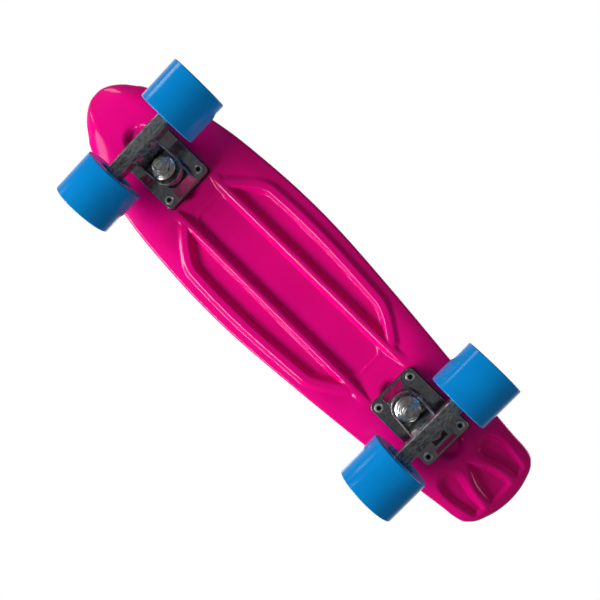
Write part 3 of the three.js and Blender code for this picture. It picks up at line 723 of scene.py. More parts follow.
def outer_rib_at(x):
    """Middle line of an outer rib: it follows the edge and bends in at both ends."""
    straight = np.clip(x, RIB_REAR + OUTER_RIB_BEND, RIB_FRONT - OUTER_RIB_BEND)
    inset = np.interp(straight, (RIB_REAR, RIB_FRONT), OUTER_RIB_INSETS)
    outer = half_width_at(straight) - inset
    bent = np.abs(x - straight) / OUTER_RIB_BEND
    return outer - (outer - STRAIGHT_RIB_EDGE - OUTER_RIB_JOIN) * bent**OUTER_RIB_POWER


def with_horns(height, x, across):
    """Sets back the land beside the straight ribs, out to where the plates begin."""
    ends = (PLATE_REAR, RIB_REAR, RIB_FRONT, PLATE_FRONT)
    horn = smoothstep(np.interp(x, ends, (0, 1, 1, 0)))
    horn *= 1 - smoothstep((across - STRAIGHT_RIB_EDGE) / HORN_FADE)
    step = wall_under(across - STRAIGHT_RIB_EDGE, STRAIGHT_RIB_SLOPE)
    return height + horn * HORN_STEP * np.minimum(step / HORN_STEP, 1)


def with_outer_ribs(height, to_rib):
    """Brings the outer ribs about level with the pad, with a flare beside their crests."""
    start, end = OUTER_RIB_CREST / 3, OUTER_RIB_CREST / 2 + OUTER_RIB_FLARE
    on_rib = 1 - smoothstep((to_rib - start) / (end - start))
    return height + (np.minimum(height, OUTER_RIB_LEVEL) - height) * on_rib


rib_x = np.linspace(RIB_REAR, RIB_FRONT, RIB_STEPS)
rib_line = np.column_stack([rib_x, outer_rib_at(rib_x)])
print("outer rib from", rib_line[0].round(1), "to", rib_line[-1].round(1))

# %% [markdown]
# ## Pockets, channel and pits
#
# Between the ribs lie the pockets that save plastic: one on each side, bounded by its outer
# and its straight rib, and a long channel down the middle, whose floor runs out in shallow
# ramps towards the trucks. Under each truck a round-ended pit leaves room for the kingpin's
# head, and its two ends show beyond the baseplate as dark hollows.

# %% Press the pockets
CHANNEL_HALF_WIDTH = 22.7
CHANNEL_SETBACKS = (74.0, 66.5)
CHANNEL_CORNER = 13.0
CHANNEL_DRAFT = 5.2
RAMP_DEPTHS = (0.6, 5.0)
PIT_SIZE = (98.0, 30.0)
PIT_INBOARD = 6.5
PIT_DEPTH = 6.0
PIT_DRAFT = 6.0


def with_side_pockets(height, x, across, to_rib):
    """Presses the two pockets between the outer and the straight ribs."""
    within = (x > RIB_REAR) & (x < RIB_FRONT) & (across < outer_rib_at(x))
    from_rib = np.where(within, to_rib, -to_rib) - OUTER_RIB_CREST / 2
    outer_wall = wall_under(from_rib, POCKET_DEPTH / OUTER_RIB_DRAFT)
    inner_wall = wall_under(across - STRAIGHT_RIB_EDGE, STRAIGHT_RIB_SLOPE)
    return pressed(height, POCKET_DEPTH, softer_min(outer_wall, inner_wall, FOOT))


def with_channel(height, x, across):
    """Presses the middle channel and the ramps at its ends."""
    rear, front = AXLE_X["rear"] + CHANNEL_SETBACKS[0], AXLE_X["front"] - CHANNEL_SETBACKS[1]
    slope = POCKET_DEPTH / CHANNEL_DRAFT
    low, high = RAMP_DEPTHS
    ramp = np.interp(x, (PLATE_REAR, rear, front, PLATE_FRONT), (low, high, high, low))
    ramp = np.where((x > PLATE_REAR) & (x < PLATE_FRONT), ramp, 0)
    height = pressed(height, ramp, wall_under(CHANNEL_HALF_WIDTH - across, slope))
    half_size = ((front - rear) / 2, CHANNEL_HALF_WIDTH)
    inward = rounded_box(x, across, (front + rear) / 2, half_size, CHANNEL_CORNER)
    channel = pressed(np.zeros_like(height), POCKET_DEPTH, wall_under(inward, slope))
    return np.maximum(height, channel)


def with_pits(height, x, across):
    """Presses the round-ended pit under each truck."""
    length, width = PIT_SIZE
    for end, outboard in OUTBOARD.items():
        centre = AXLE_X[end] - outboard * PIT_INBOARD
        inward = rounded_box(x, across, centre, (length / 2, width / 2), width / 2)
        height = pressed(height, PIT_DEPTH, wall_under(inward, PIT_DEPTH / PIT_DRAFT))
    return height


print("channel", 2 * CHANNEL_HALF_WIDTH, "mm wide and", POCKET_DEPTH, "mm deep")

# %% [markdown]
# ## Tail recesses
#
# Three recesses fan out over the tail like the marks of fingers. Their rims are free curves,
# each through a few points given as shares of the recess's length and of the half width, and
# the left rim serves for the right one too, because the height field takes only |y|.

# %% Press the tail recesses
RECESS_SETBACK = 44.0
RECESS_LENGTH = 54.0
RECESS_DRAFT = 5.5
SIDE_RECESS_SHARES = [
    (0, 0.35), (0.06, 0.46), (0.22, 0.513), (0.45, 0.52), (0.67, 0.5), (0.95, 0.455),
    (1, 0.37), (0.97, 0.285), (0.67, 0.246), (0.43, 0.2), (0.22, 0.165), (0.06, 0.23),
]
MIDDLE_RECESS_SHARES = [
    (0.15, 0), (0.33, 0.085), (0.53, 0.156), (0.73, 0.188), (0.97, 0.187), (1.03, 0.1),
    (1.03, -0.1), (0.97, -0.187), (0.73, -0.188), (0.53, -0.156), (0.33, -0.085),
]


def recess_rim(shares):
    """Closed rim of a tail recess on the left or in the middle."""
    along_tail = [AXLE_X["rear"] - RECESS_SETBACK - RECESS_LENGTH * share for share, _ in shares]
    points = np.column_stack([along_tail, [HALF_WIDTH * across for _, across in shares]])
    return catmull_rom([*points, points[0]], points[-1], points[1])


def inside(curve, x, y):
    """True for points within a closed line."""
    crossings = np.zeros(len(x), int)
    for (ax, ay), (bx, by) in zip(curve, curve[1:]):
        if ay == by:
            continue
        spans = (ay > y) != (by > y)
        crossings += spans & (x < ax + (y - ay) * (bx - ax) / (by - ay))
    return crossings % 2 == 1


def with_recesses(height, x, across):
    """Presses the three recesses of the tail."""
    for rim in (recess_rim(SIDE_RECESS_SHARES), recess_rim(MIDDLE_RECESS_SHARES)):
        edge = distance_to(rim, x, across)
        inward = np.where(inside(rim, x, across), edge, -edge)
        height = pressed(height, POCKET_DEPTH, wall_under(inward, POCKET_DEPTH / RECESS_DRAFT))
    return height


def underside(x, y):
    """Height of the underside over the level of the pad, before the kicks."""
    across = np.abs(y)
    to_rib = distance_to(rib_line, x, across)
    height = crown(x, across, half_width_at(x))
    height = with_horns(height, x, across)
    height = with_outer_ribs(height, to_rib)
    height = with_side_pockets(height, x, across, to_rib)
    height = with_channel(height, x, across)
    height = with_pits(height, x, across)
    return with_recesses(height, x, across)


print("recesses", RECESS_LENGTH, "mm long, from", RECESS_SETBACK, "mm behind the rear axle")

# %% [markdown]
# ## Deck
#
# The deck starts as a flat grid. Its points are moved so that the grid's border follows the
# outline, with the rows closer together where the ribs and walls are, and then each point
# takes its height from the relief. A grid keeps its quads in rows along the ribs, and that
# shades cleaner than a mesh cut by Booleans.

# %% Lay the grid into the outline
CELLS_ALONG = 380
CELLS_ACROSS = 180
TAIL_CORNER_POINT = 3
NOSE_CORNER_POINT = 18
BLEND_START = 0.72
ROW_SHARES = (0.44, 0.62)
INNER_ZONE = (33.0, 0.6)
OUTER_ZONE = (20.0, 0.34)

lengths = along(outline)
tail_corner_at = lengths[TAIL_CORNER_POINT * CURVE_STEPS]
nose_corner_at = lengths[NOSE_CORNER_POINT * CURVE_STEPS]
inset_line = outline - outward * RIM_RADIUS


def on_line(line, place):
    """Point of a line at a distance along the outline."""
    return np.column_stack([np.interp(place, lengths, line[:, axis]) for axis in (0, 1)])


def spread(v, half):
    """Moves the rows so that they lie close together over the ribs and the rim."""
    inner = np.minimum(INNER_ZONE[0], INNER_ZONE[1] * half)
    outer = half - np.minimum(OUTER_ZONE[0], OUTER_ZONE[1] * half)
    a, b = ROW_SHARES
    low = v / a * inner
    middle = inner + (v - a) / (b - a) * (outer - inner)
    high = outer + (v - b) / (1 - b) * (half - outer)
    return np.where(v < a, low, np.where(v < b, middle, high))


def nearness(u):
    """Share by which a column follows the outline of the nose, or with -u of the tail."""
    return np.clip((u - BLEND_START) / (1 - BLEND_START), 0, 1) ** 2


deck = bmesh.new()
bmesh.ops.create_grid(deck, x_segments=CELLS_ALONG, y_segments=CELLS_ACROSS, size=1)
grid = np.array([vert.co for vert in deck.verts])
u, v = grid[:, 0], grid[:, 1]
side_place = tail_corner_at + (u + 1) / 2 * (nose_corner_at - tail_corner_at)
nose_place = nose_corner_at + (1 - np.abs(v)) * (lengths[-1] - nose_corner_at)
tail_place = np.abs(v) * tail_corner_at
side = on_line(inset_line, side_place)
nose, tail = on_line(inset_line, nose_place), on_line(inset_line, tail_place)
nose_corner, tail_corner = on_line(inset_line, np.array([nose_corner_at, tail_corner_at]))
x = side[:, 0] + nearness(u) * (nose[:, 0] - nose_corner[0])
x += nearness(-u) * (tail[:, 0] - tail_corner[0])
rows = spread(np.abs(v), side[:, 1])
rows += nearness(u) * (side[:, 1] * nose[:, 1] / nose_corner[1] - rows)
rows += nearness(-u) * (side[:, 1] * tail[:, 1] / tail_corner[1] - rows)
y = np.sign(v) * rows
z = PAD_LEVEL + rise(x) + underside(x, y)
for vert, place in zip(deck.verts, np.column_stack([x, y, z])):
    vert.co = place
print("underside grid", len(deck.faces), "faces, z", round(z.min(), 2), "to", round(z.max(), 2))

# %% [markdown]
# ## Rim and top
#
# The edge of a moulded deck is round below and has a tighter round above. The border of the
# grid is extruded ring by ring: in a quarter circle up to the side, straight up, in a smaller
# quarter circle over to the top, and a little way in. One big face then closes the top.

# %% Roll the rim up to the top
TOP_ROUND = 1.6
ROUND_STEPS = 4
BORDER = 7.0
GRID_TOUCH = 1e-6

quarter = [math.pi / 2 * step / ROUND_STEPS for step in range(1, ROUND_STEPS + 1)]
arc = [(1 - math.sin(angle), 1 - math.cos(angle)) for angle in quarter]
rim_rings = [(RIM_RADIUS * a, CROWN_HEIGHT + RIM_RADIUS * b) for a, b in arc]
rim_rings.append((0, DECK_THICKNESS - TOP_ROUND))
rim_rings += [(TOP_ROUND * b, DECK_THICKNESS - TOP_ROUND * a) for a, b in arc]
rim_rings.append((BORDER, DECK_THICKNESS))

on_tail = np.where(u < GRID_TOUCH - 1, tail_place, side_place)
border_place = np.where(u > 1 - GRID_TOUCH, nose_place, on_tail)
root = on_line(outline, border_place)
lean = on_line(outward, border_place)
lean /= np.linalg.norm(lean, axis=1)[:, None]
sign = np.where(v < 0, -1, 1)
anchors = {
    vert: (root[i, 0], sign[i] * root[i, 1], lean[i, 0], sign[i] * lean[i, 1])
    for i, vert in enumerate(deck.verts)
    if vert.is_boundary
}
ring = [edge for edge in deck.edges if edge.is_boundary]
for offset, height in rim_rings:
    fresh, ring = extruded_loop(deck, ring)
    for vert in fresh:
        source = next(e.other_vert(vert) for e in vert.link_edges if e.other_vert(vert) not in fresh)
        anchors[vert] = anchors[source]
        ax, ay, nx, ny = anchors[vert]
        px, py = ax - nx * offset, ay - ny * offset
        vert.co = (px, py, PAD_LEVEL + float(rise(px)) + height)
top = bmesh.ops.edgeloop_fill(deck, edges=ring)["faces"]
print("rim rings", len(rim_rings), "top face with", len(top[0].verts), "corners")

# %% [markdown]
# ## Waffle grip
#
# A plastic cruiser needs no grip tape: its top is moulded as a waffle of small hollows. The
# top face is sliced along both diagonals, and inset sinks each whole cell between ridges that
# stay at full height. Slivers at the border stay flat, because a hollow would fold over there.

# %% Slice the top into a waffle
WAFFLE_PITCH = 7.0
WAFFLE_RIDGE = 0.9
WAFFLE_DEPTH = 0.6
SMALLEST_CELL = 6.0
TOUCH = 1e-4

reach = HALF_LENGTH * math.sqrt(2) / 2 + HALF_WIDTH
cuts = np.arange(-reach, reach, WAFFLE_PITCH)
for direction in (Vector((1, 1, 0)).normalized(), Vector((1, -1, 0)).normalized()):
    for cut in cuts:
        geometry = {item for face in top for item in (*face.verts, *face.edges, face)}
        made = bmesh.ops.bisect_plane(
            deck, geom=list(geometry), dist=TOUCH, plane_co=direction * cut, plane_no=direction
        )
        top = [face for face in set(only(FACE, made["geom"])).union(top) if face.is_valid]
for vert in {vert for face in top for vert in face.verts}:
    vert.co.z = PAD_LEVEL + float(rise(vert.co.x)) + DECK_THICKNESS
cells = [face for face in top if face.calc_area() > SMALLEST_CELL]
bmesh.ops.inset_individual(
    deck, faces=cells, thickness=WAFFLE_RIDGE / 2, depth=-WAFFLE_DEPTH, use_even_offset=True
)
bmesh.ops.recalc_face_normals(deck, faces=deck.faces)
print("waffle of", len(cells), "cells; open edges", sum(e.is_boundary for e in deck.edges))
finish("deck_moulding", deck, "board", deck_plastic, ["deck"], weighted=False)

# %% [markdown]
# ## Wheels
#
# A urethane wheel is cast and then trued on a lathe, so it is drawn as a turned profile: a
# wide flat tread, rounded lips, side faces that dish in towards the bearing, a seat for each
# bearing and a shoulder between the two. The profile is turned about z and laid over on its
# axle, and the same shape serves for all four wheels.

# %% Turn the wheels
WHEEL_FACE = 23.0
WHEEL_SIDES = 128
WHEEL_PROFILE = [
    (9.5, 5.0), (11.3, 5.0), (11.3, 12.3), (12.1, 13.2), (14.3, 20.6), (15.6, 22.3),
    (17.5, WHEEL_FACE - 0.3), (21.0, WHEEL_FACE), (AXLE_HEIGHT - 1.5, WHEEL_FACE),
    (AXLE_HEIGHT - 0.6, WHEEL_FACE - 0.2), (AXLE_HEIGHT - 0.2, WHEEL_FACE - 0.6),
    (AXLE_HEIGHT, WHEEL_FACE - 1.1),
]
WHEEL_LIP = 0.25
CORNERS = [(end, side) for end in AXLE_X for side in ("left", "right")]


def middle_of(node):
    """How far the middle of a part is from the middle line of the board."""
    return abs(sum(corner.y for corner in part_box(node)) / 2 / MM)


def lay_on_axle(shape, end, side, middle):
    """Lays a shape drawn about z on the axle, with its outer face away from the board."""
    outwards = 1 if side == "left" else -1
    over = Matrix.Rotation(-outwards * math.pi / 2, 4, "X")
    place = Matrix.Translation((AXLE_X[end], outwards * middle, AXLE_HEIGHT))
    bmesh.ops.transform(shape, matrix=place @ over, verts=shape.verts)


wheel_middle = middle_of("front_left_wheel")
for end, side in CORNERS:
    wheel = turned(mirrored(WHEEL_PROFILE), WHEEL_SIDES)
    rims = [edge for edge in wheel.edges if edge.calc_face_angle(0) > SHARP_ANGLE]
    bevel(wheel, rims, WHEEL_LIP, segments=2)
    lay_on_axle(wheel, end, side, wheel_middle)
    finish(
        f"{end}_{side}_wheel_casting", wheel, f"{end}_{side}_rolling_wheel",
        wheel_urethane, [f"{end}_{side}_wheel"],
    )
print("four wheels, middle at y", round(wheel_middle, 2))

# %% [markdown]
# ## Bearings
#
# A sealed bearing shows three rings from the side: the outer race, a dark shield set back a
# little, and the inner race. One closed profile with a groove for the shield gives all three.

# %% Turn the bearings
AXLE_BORE = 4.3
RING_SIDES = 64
BEARING_HALF = 3.5
BEARING_FACE = [
    (AXLE_BORE, BEARING_HALF - 0.2), (4.5, BEARING_HALF), (6.1, BEARING_HALF),
    (6.25, BEARING_HALF - 0.5), (9.4, BEARING_HALF - 0.5), (9.55, BEARING_HALF),
    (10.7, BEARING_HALF), (11.0, BEARING_HALF - 0.3),
]

for end, side in CORNERS:
    for seat in ("inner", "outer"):
        node = f"{end}_{side}_{seat}_bearing"
        bearing = turned(mirrored(BEARING_FACE), RING_SIDES)
        lay_on_axle(bearing, end, side, middle_of(node))
        finish(
            f"{node}_race", bearing, f"{end}_{side}_rolling_wheel",
            bearing_steel, [node],
        )
print("eight bearings")

# %% [markdown]
# ## Axles and washers
#
# The axle is a plain rod with a rolled thread at each end, and the thread shows past the nut
# as fine ridges. Rings of ridges look the same as a helix at this size and take far fewer
# faces. On each side of a wheel's bearings sits a thin washer.

# %% Turn the axles and washers
THREAD_PITCH = 1.0
THREAD_DEPTH = 0.35
THREAD_CHAMFER = 0.9
THREAD_LEAD = 0.6
THREAD_RUNOUT = 0.5
ROD_SIDES = 48
AXLE_RADIUS = 4.0
AXLE_RIDGES = 9
AXLE_WASHER_RADIUS = 6.3
AXLE_WASHER_HALF = 0.5
AXLE_WASHER_SOFTNESS = 0.15


def threaded_end(radius, end, ridges):
    """Profile of a threaded end, from the middle of its face to where the plain rod starts."""
    start = end - THREAD_LEAD
    profile = [(0, end), (radius - THREAD_CHAMFER, end), (radius - THREAD_DEPTH, start)]
    for ridge in range(ridges):
        crest = start - (ridge + 0.5) * THREAD_PITCH
        profile += [(radius, crest), (radius - THREAD_DEPTH, crest - THREAD_PITCH / 2)]
    profile.append((radius, profile[-1][1] - THREAD_RUNOUT))
    return profile


for end in AXLE_X:
    thread = threaded_end(AXLE_RADIUS, AXLE_BOX[end][1].y / MM, AXLE_RIDGES)
    axle = turned(mirrored(thread), ROD_SIDES, closed=False)
    lay_on_axle(axle, end, "left", 0)
    finish(f"{end}_axle_rod", axle, f"{end}_truck_hanger", zinc_steel, [f"{end}_axle"])
    for side in ("left", "right"):
        for seat in ("inner", "outer"):
            node = f"{end}_{side}_{seat}_washer"
            ring = [(radius, -AXLE_WASHER_HALF) for radius in (AXLE_BORE, AXLE_WASHER_RADIUS)]
            washer = turned(mirrored(ring), ROD_SIDES)
            soften(washer, AXLE_WASHER_SOFTNESS)
            lay_on_axle(washer, end, side, middle_of(node))
            finish(f"{node}_disc", washer, f"{end}_truck_hanger", zinc_steel, [node])
print("two axles and eight washers")

# %% [markdown]
# ## Nuts
#
# A hexagon nut is made as on the shop floor: a collar is turned with a bevel on its corners,
# and six flats are cut into it. The flats then end in the curved lines that such a nut has.

# %% Cut the nuts
FLATS = 6
NUT_SIDES = 72
NUT_BEVEL = 0.6
NUT_FACE_INSET = 0.2
COLLAR_CHAMFER = 0.5
MILL_TOUCH = 1e-5
AXLE_NUT_WIDTH = 13.0


def hexagon_nut(across_flats, low, high, bore, collar=None):
    """A nut about z: turned with bevelled corners, then milled to six flats."""
    corner = across_flats / math.sqrt(3)
    slope = (corner - across_flats / 2) * NUT_BEVEL
    face = across_flats / 2 - NUT_FACE_INSET
    profile = [(bore, high), (face, high), (corner, high - slope), (corner, low + slope), (face, low)]
    if collar:
        radius, reach = collar
        end = low - reach
        profile += [(radius, low), (radius, end + COLLAR_CHAMFER)]
        profile += [(radius - COLLAR_CHAMFER, end), (bore, end)]
    else:
        profile.append((bore, low))
    nut = turned(profile, NUT_SIDES)
    for flat in range(FLATS):
        angle = math.radians(360 / FLATS * (flat + 0.5))
        direction = Vector((math.cos(angle), math.sin(angle), 0))
        made = bmesh.ops.bisect_plane(
            nut,
            geom=[*nut.verts, *nut.edges, *nut.faces],
            dist=MILL_TOUCH,
            plane_co=direction * across_flats / 2,
            plane_no=direction,
            clear_outer=True,
        )
        bmesh.ops.edgeloop_fill(nut, edges=only(EDGE, made["geom_cut"]))
    clean(nut)
    return nut


for end, side in CORNERS:
    node = f"{end}_{side}_axle_nut"
    low, high = sorted(abs(corner.y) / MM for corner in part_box(node))
    nut = hexagon_nut(AXLE_NUT_WIDTH, low, high, AXLE_BORE)
    lay_on_axle(nut, end, side, 0)
    finish(f"{node}_hexagon", nut, f"{end}_truck_hanger", zinc_steel, [node])
print("four axle nuts")

# %% [markdown]
# ## Trucks
#
# A truck has a baseplate screwed to the deck, a kingpin bolt that leans towards the middle of
# the board, two urethane bushings on it, and between them the ring of the hanger. The hanger's
# horn pivots in a soft cup in the baseplate. Castings are put together from plain forms with
# Booleans, because a pattern maker builds them up in the same way.

# %% Helpers for castings
RING_SETBACK = 27.0
RING_RISE = 19.5
RING_PLACE = Vector((-RING_SETBACK, 0, AXLE_HEIGHT + RING_RISE))
KINGPIN_LEAN = math.radians(8)
ON_KINGPIN = Matrix.Translation(RING_PLACE) @ Matrix.Rotation(-KINGPIN_LEAN, 4, "Y")


def as_object(shape, name):
    """A helper object made of a shape, for a modifier to work on."""
    mesh = bpy.data.meshes.new(name)
    shape.to_mesh(mesh)
    shape.free()
    made = bpy.data.objects.new(name, mesh)
    bpy.context.scene.collection.objects.link(made)
    return made


def combine(shape, other, operation):
    """Joins two shapes, or cuts one with the other, by a Boolean modifier."""
    body, tool = as_object(shape, "body"), as_object(other, "tool")
    boolean = body.modifiers.new("Boolean", "BOOLEAN")
    boolean.operation = operation
    boolean.solver = "EXACT"
    boolean.object = tool
    result = bmesh.new()
    result.from_object(body, bpy.context.evaluated_depsgraph_get())
    for used in (body, tool):
        mesh = used.data
        bpy.data.objects.remove(used)
        bpy.data.meshes.remove(mesh)
    return result


def prism(profile, start, end, axis="Y"):
    """A flat profile of two coordinates made solid along y or z."""
    shape = bmesh.new()
    places = [(a, start, b) if axis == "Y" else (a, b, start) for a, b in profile]
    face = shape.faces.new([shape.verts.new(place) for place in places])
    made = bmesh.ops.extrude_face_region(shape, geom=[face])
    vec = (0, end - start, 0) if axis == "Y" else (0, 0, end - start)
    bmesh.ops.translate(shape, vec=vec, verts=only(POINT, made["geom"]))
    clean(shape)
    return shape


def box_shape(low, high):
    """A box between two corners."""
    low, high = Vector(low), Vector(high)
    shape = bmesh.new()
    bmesh.ops.create_cube(shape, size=1)
    bmesh.ops.scale(shape, vec=high - low, verts=shape.verts)
    bmesh.ops.translate(shape, vec=(low + high) / 2, verts=shape.verts)
    return shape


def rod_shape(radius, low, high, matrix):
    """A round rod about z, put in place by a matrix."""
    rod = turned([(0, low), (radius, low), (radius, high), (0, high)], ROD_SIDES, closed=False)
    bmesh.ops.transform(rod, matrix=matrix, verts=rod.verts)
    return rod


def place_truck(shape, end):
    """Moves a shape from the truck's own frame to its end of the board."""
    bmesh.ops.transform(shape, matrix=TRUCK_PLACE[end], verts=shape.verts)


print("kingpin leans", round(math.degrees(KINGPIN_LEAN), 1), "degrees")

# %% [markdown]
# ## Baseplates
#
# A baseplate is a flat flange with a hump that hangs from it, drafted on all four sides. The
# hump has a round seat for the upper bushing's washer and an open slot for the pivot cup. A
# small bevel on every edge stands for the round that a casting gets from its mould.

# %% Cast the baseplates
PLATE_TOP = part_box("front_baseplate")[1].z / MM
HUMP_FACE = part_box("front_baseplate")[0].z / MM
PLATE_INBOARD_END = -50.0
PLATE_OUTBOARD_END = 27.5
PLATE_MIDDLE = (PLATE_INBOARD_END + PLATE_OUTBOARD_END) / 2
PLATE_HALF_WIDTH = 27.5
PLATE_CORNER = 4.5
PLATE_EDGE = 0.8
PLATE_SOFTNESS = 0.35
CORNER_STEPS = 8
EDGE_STEPS = 3
FLANGE = 5.2
HUMP_HALF_WIDTH = 11.5
HUMP_DRAFT = 1.2
HUMP_SLOPE = 8.0
SEAT_LEVEL = 11.6
SEAT_REACH = 14.0
DISH_RADIUS = 12.0
CUP_SIZE = (13.6, 15.0, 11.0)
CUP_START = 3.4
OVERCUT = 2.0
FLAT_ANGLE = 0.01
plate_face = PLATE_TOP - FLANGE


def rounded_plate(low, high, half_width, corner, bottom, top, edge):
    """A plate with round corners and a small round along its lower rim."""
    plate = box_shape((low, -half_width, bottom), (high, half_width, top))
    upright = [e for e in plate.edges if abs(e.verts[0].co.z - e.verts[1].co.z) > TOUCH]
    bevel(plate, upright, corner, CORNER_STEPS)
    rim = [e for e in plate.edges if all(abs(point.co.z - bottom) < TOUCH for point in e.verts)]
    bevel(plate, rim, edge, EDGE_STEPS)
    return plate


def baseplate_shape():
    """The flange and the hump, with the slot for the pivot cup and the seat for the washer."""
    plate = rounded_plate(
        PLATE_INBOARD_END, PLATE_OUTBOARD_END, PLATE_HALF_WIDTH, PLATE_CORNER,
        plate_face, PLATE_TOP, PLATE_EDGE,
    )
    hump = box_shape(
        (PLATE_INBOARD_END + HUMP_SLOPE, -HUMP_HALF_WIDTH, HUMP_FACE),
        (PLATE_OUTBOARD_END - HUMP_SLOPE, HUMP_HALF_WIDTH, plate_face + 2 * PLATE_EDGE),
    )
    for point in hump.verts:
        if point.co.z > plate_face:
            point.co.x += math.copysign(HUMP_SLOPE - PLATE_EDGE, point.co.x - PLATE_MIDDLE)
            point.co.y += math.copysign(HUMP_DRAFT, point.co.y)
    length, width, height = CUP_SIZE
    slot = box_shape(
        (CUP_START - FIT, -width / 2 - FIT, HUMP_FACE - OVERCUT),
        (CUP_START + length + FIT, width / 2 + FIT, HUMP_FACE + height + FIT),
    )
    seat = rod_shape(DISH_RADIUS + FIT, SEAT_LEVEL - SEAT_REACH, SEAT_LEVEL, ON_KINGPIN)
    plate = combine(combine(combine(plate, hump, "UNION"), slot, "DIFFERENCE"), seat, "DIFFERENCE")
    bmesh.ops.dissolve_limit(plate, angle_limit=FLAT_ANGLE, verts=plate.verts, edges=plate.edges)
    soften(plate, PLATE_SOFTNESS)
    return plate


for end in AXLE_X:
    plate = baseplate_shape()
    place_truck(plate, end)
    finish(f"{end}_baseplate_casting", plate, "board", plate_metal, [f"{end}_baseplate"])
print("baseplates from z", round(HUMP_FACE, 2), "to", round(PLATE_TOP, 2))

# %% [markdown]
# ## Risers and pivot cups
#
# A thin rubber riser lies between each plate and the deck. The pivot cup is a soft block that
# fills the slot of the plate, with a leaning hole for the hanger's horn. The horn is drawn
# here first, because the hole is the same form with some play, wider at its mouth so that
# the horn can swing.

# %% Cut the risers and the pivot cups
RISER_THICKNESS = 3.0
RISER_MARGIN = 0.7
RISER_EDGE = 0.5
HORN_FOOT = Vector((2.0, 0, AXLE_HEIGHT))
HORN_TIP = Vector((11.8, 0, AXLE_HEIGHT + 34.0))
HORN_TIP_RADIUS = 4.5
HORN_ROOT_RADIUS = 7.0
HORN_SIDES = 40
TIP_STEPS = 9
CUP_PLAY = 0.5
CUP_SWING = 1.3
SWING_SHARE = 0.6


def horn_shape(play, swing):
    """The leaning horn of the hanger, or with some play the hole that it turns in."""
    run = HORN_TIP - HORN_FOOT
    tip = HORN_TIP_RADIUS + play
    start = run.length - (tip if play else 0)
    profile = [(0, 0), (HORN_ROOT_RADIUS + swing, 0), (tip + swing * SWING_SHARE, start)]
    for step in range(1, TIP_STEPS):
        angle = step / TIP_STEPS * math.pi / 2
        profile.append((tip * math.cos(angle), run.length + tip * math.sin(angle)))
    profile.append((0, run.length + tip))
    horn = turned(profile, HORN_SIDES, closed=False)
    lean = run.to_track_quat("Z", "Y").to_matrix().to_4x4()
    bmesh.ops.transform(horn, matrix=Matrix.Translation(HORN_FOOT) @ lean, verts=horn.verts)
    return horn


def cup_shape():
    """The soft block in the slot of the baseplate, with the hole for the horn."""
    length, width, height = CUP_SIZE
    low = (CUP_START, -width / 2, HUMP_FACE)
    high = (CUP_START + length, width / 2, HUMP_FACE + height)
    return combine(box_shape(low, high), horn_shape(CUP_PLAY, CUP_SWING), "DIFFERENCE")


for end in AXLE_X:
    low = PLATE_TOP + FIT
    riser = rounded_plate(
        PLATE_INBOARD_END - RISER_MARGIN, PLATE_OUTBOARD_END + RISER_MARGIN,
        PLATE_HALF_WIDTH + RISER_MARGIN, PLATE_CORNER + RISER_MARGIN,
        low, low + RISER_THICKNESS, RISER_EDGE,
    )
    place_truck(riser, end)
    finish(f"{end}_riser_slab", riser, "board", black_rubber, [f"{end}_riser_pad"])
    cup = cup_shape()
    place_truck(cup, end)
    finish(
        f"{end}_pivot_socket", cup, "board", bushing_urethane, [f"{end}_pivot_cup"]
    )
print("risers and pivot cups")

# %% [markdown]
# ## Hangers
#
# The hanger carries the axle in a long bar. A yoke with a cheek on each side runs from the bar
# to the ring round the kingpin, and the horn stands on the bar. Once the forms are joined, a
# Remesh and a Smooth modifier melt them into one skin with soft fillets, as sand casting
# leaves it; a bevel can't follow the lines where so many forms meet.

# %% Cast the hangers
BAR_HALF = 44.0
BAR_SECTION = [(5.7, -8.7), (7.0, -7.4), (7.3, 4.0), (5.4, 8.8)]
RING_RADIUS = 14.8
RING_HALF = 3.5
KINGPIN_HOLE = 6.25
YOKE_THICKNESS = 7.0
WEB_SHARES = [(0, 0), (0.07, 0.15), (0.22, 0.4), (0.45, 0.68), (0.72, 0.88), (1, 1)]
CHEEK_THICKNESS = 1.9
CHEEK_TOP = 6.0
SKIN_INSET = 0.05
OVERLAP = 1.0
CAST_VOXEL = 0.45
CAST_PASSES = 3
CAST_SMOOTHING = 0.5


def yoke_parts():
    """The web from the ring to the bar, and the cheek on each side of it."""
    ring_x, under = RING_PLACE.x, RING_PLACE.z - RING_HALF
    bend = DISH_RADIUS + FIT + OVERLAP + ring_x
    face, top = BAR_SECTION[0][0], AXLE_HEIGHT + BAR_SECTION[-1][1]
    foot, head = AXLE_HEIGHT + BAR_SECTION[1][1], under + OVERLAP
    web = [(bend + (-face - bend) * a, head + (foot - head) * b) for a, b in WEB_SHARES]
    slab = [(ring_x, under), *web, (-face, top)]
    slab += [(bend, under + YOKE_THICKNESS), (ring_x, under + YOKE_THICKNESS)]
    cheek = [(ring_x, head), (-face, foot), (-face, top)]
    cheek += [(bend, under + CHEEK_TOP), (ring_x, under + CHEEK_TOP)]
    return [
        prism(slab, SKIN_INSET - RING_RADIUS, RING_RADIUS - SKIN_INSET),
        prism(cheek, RING_RADIUS - CHEEK_THICKNESS, RING_RADIUS),
        prism(cheek, -RING_RADIUS, CHEEK_THICKNESS - RING_RADIUS),
    ]


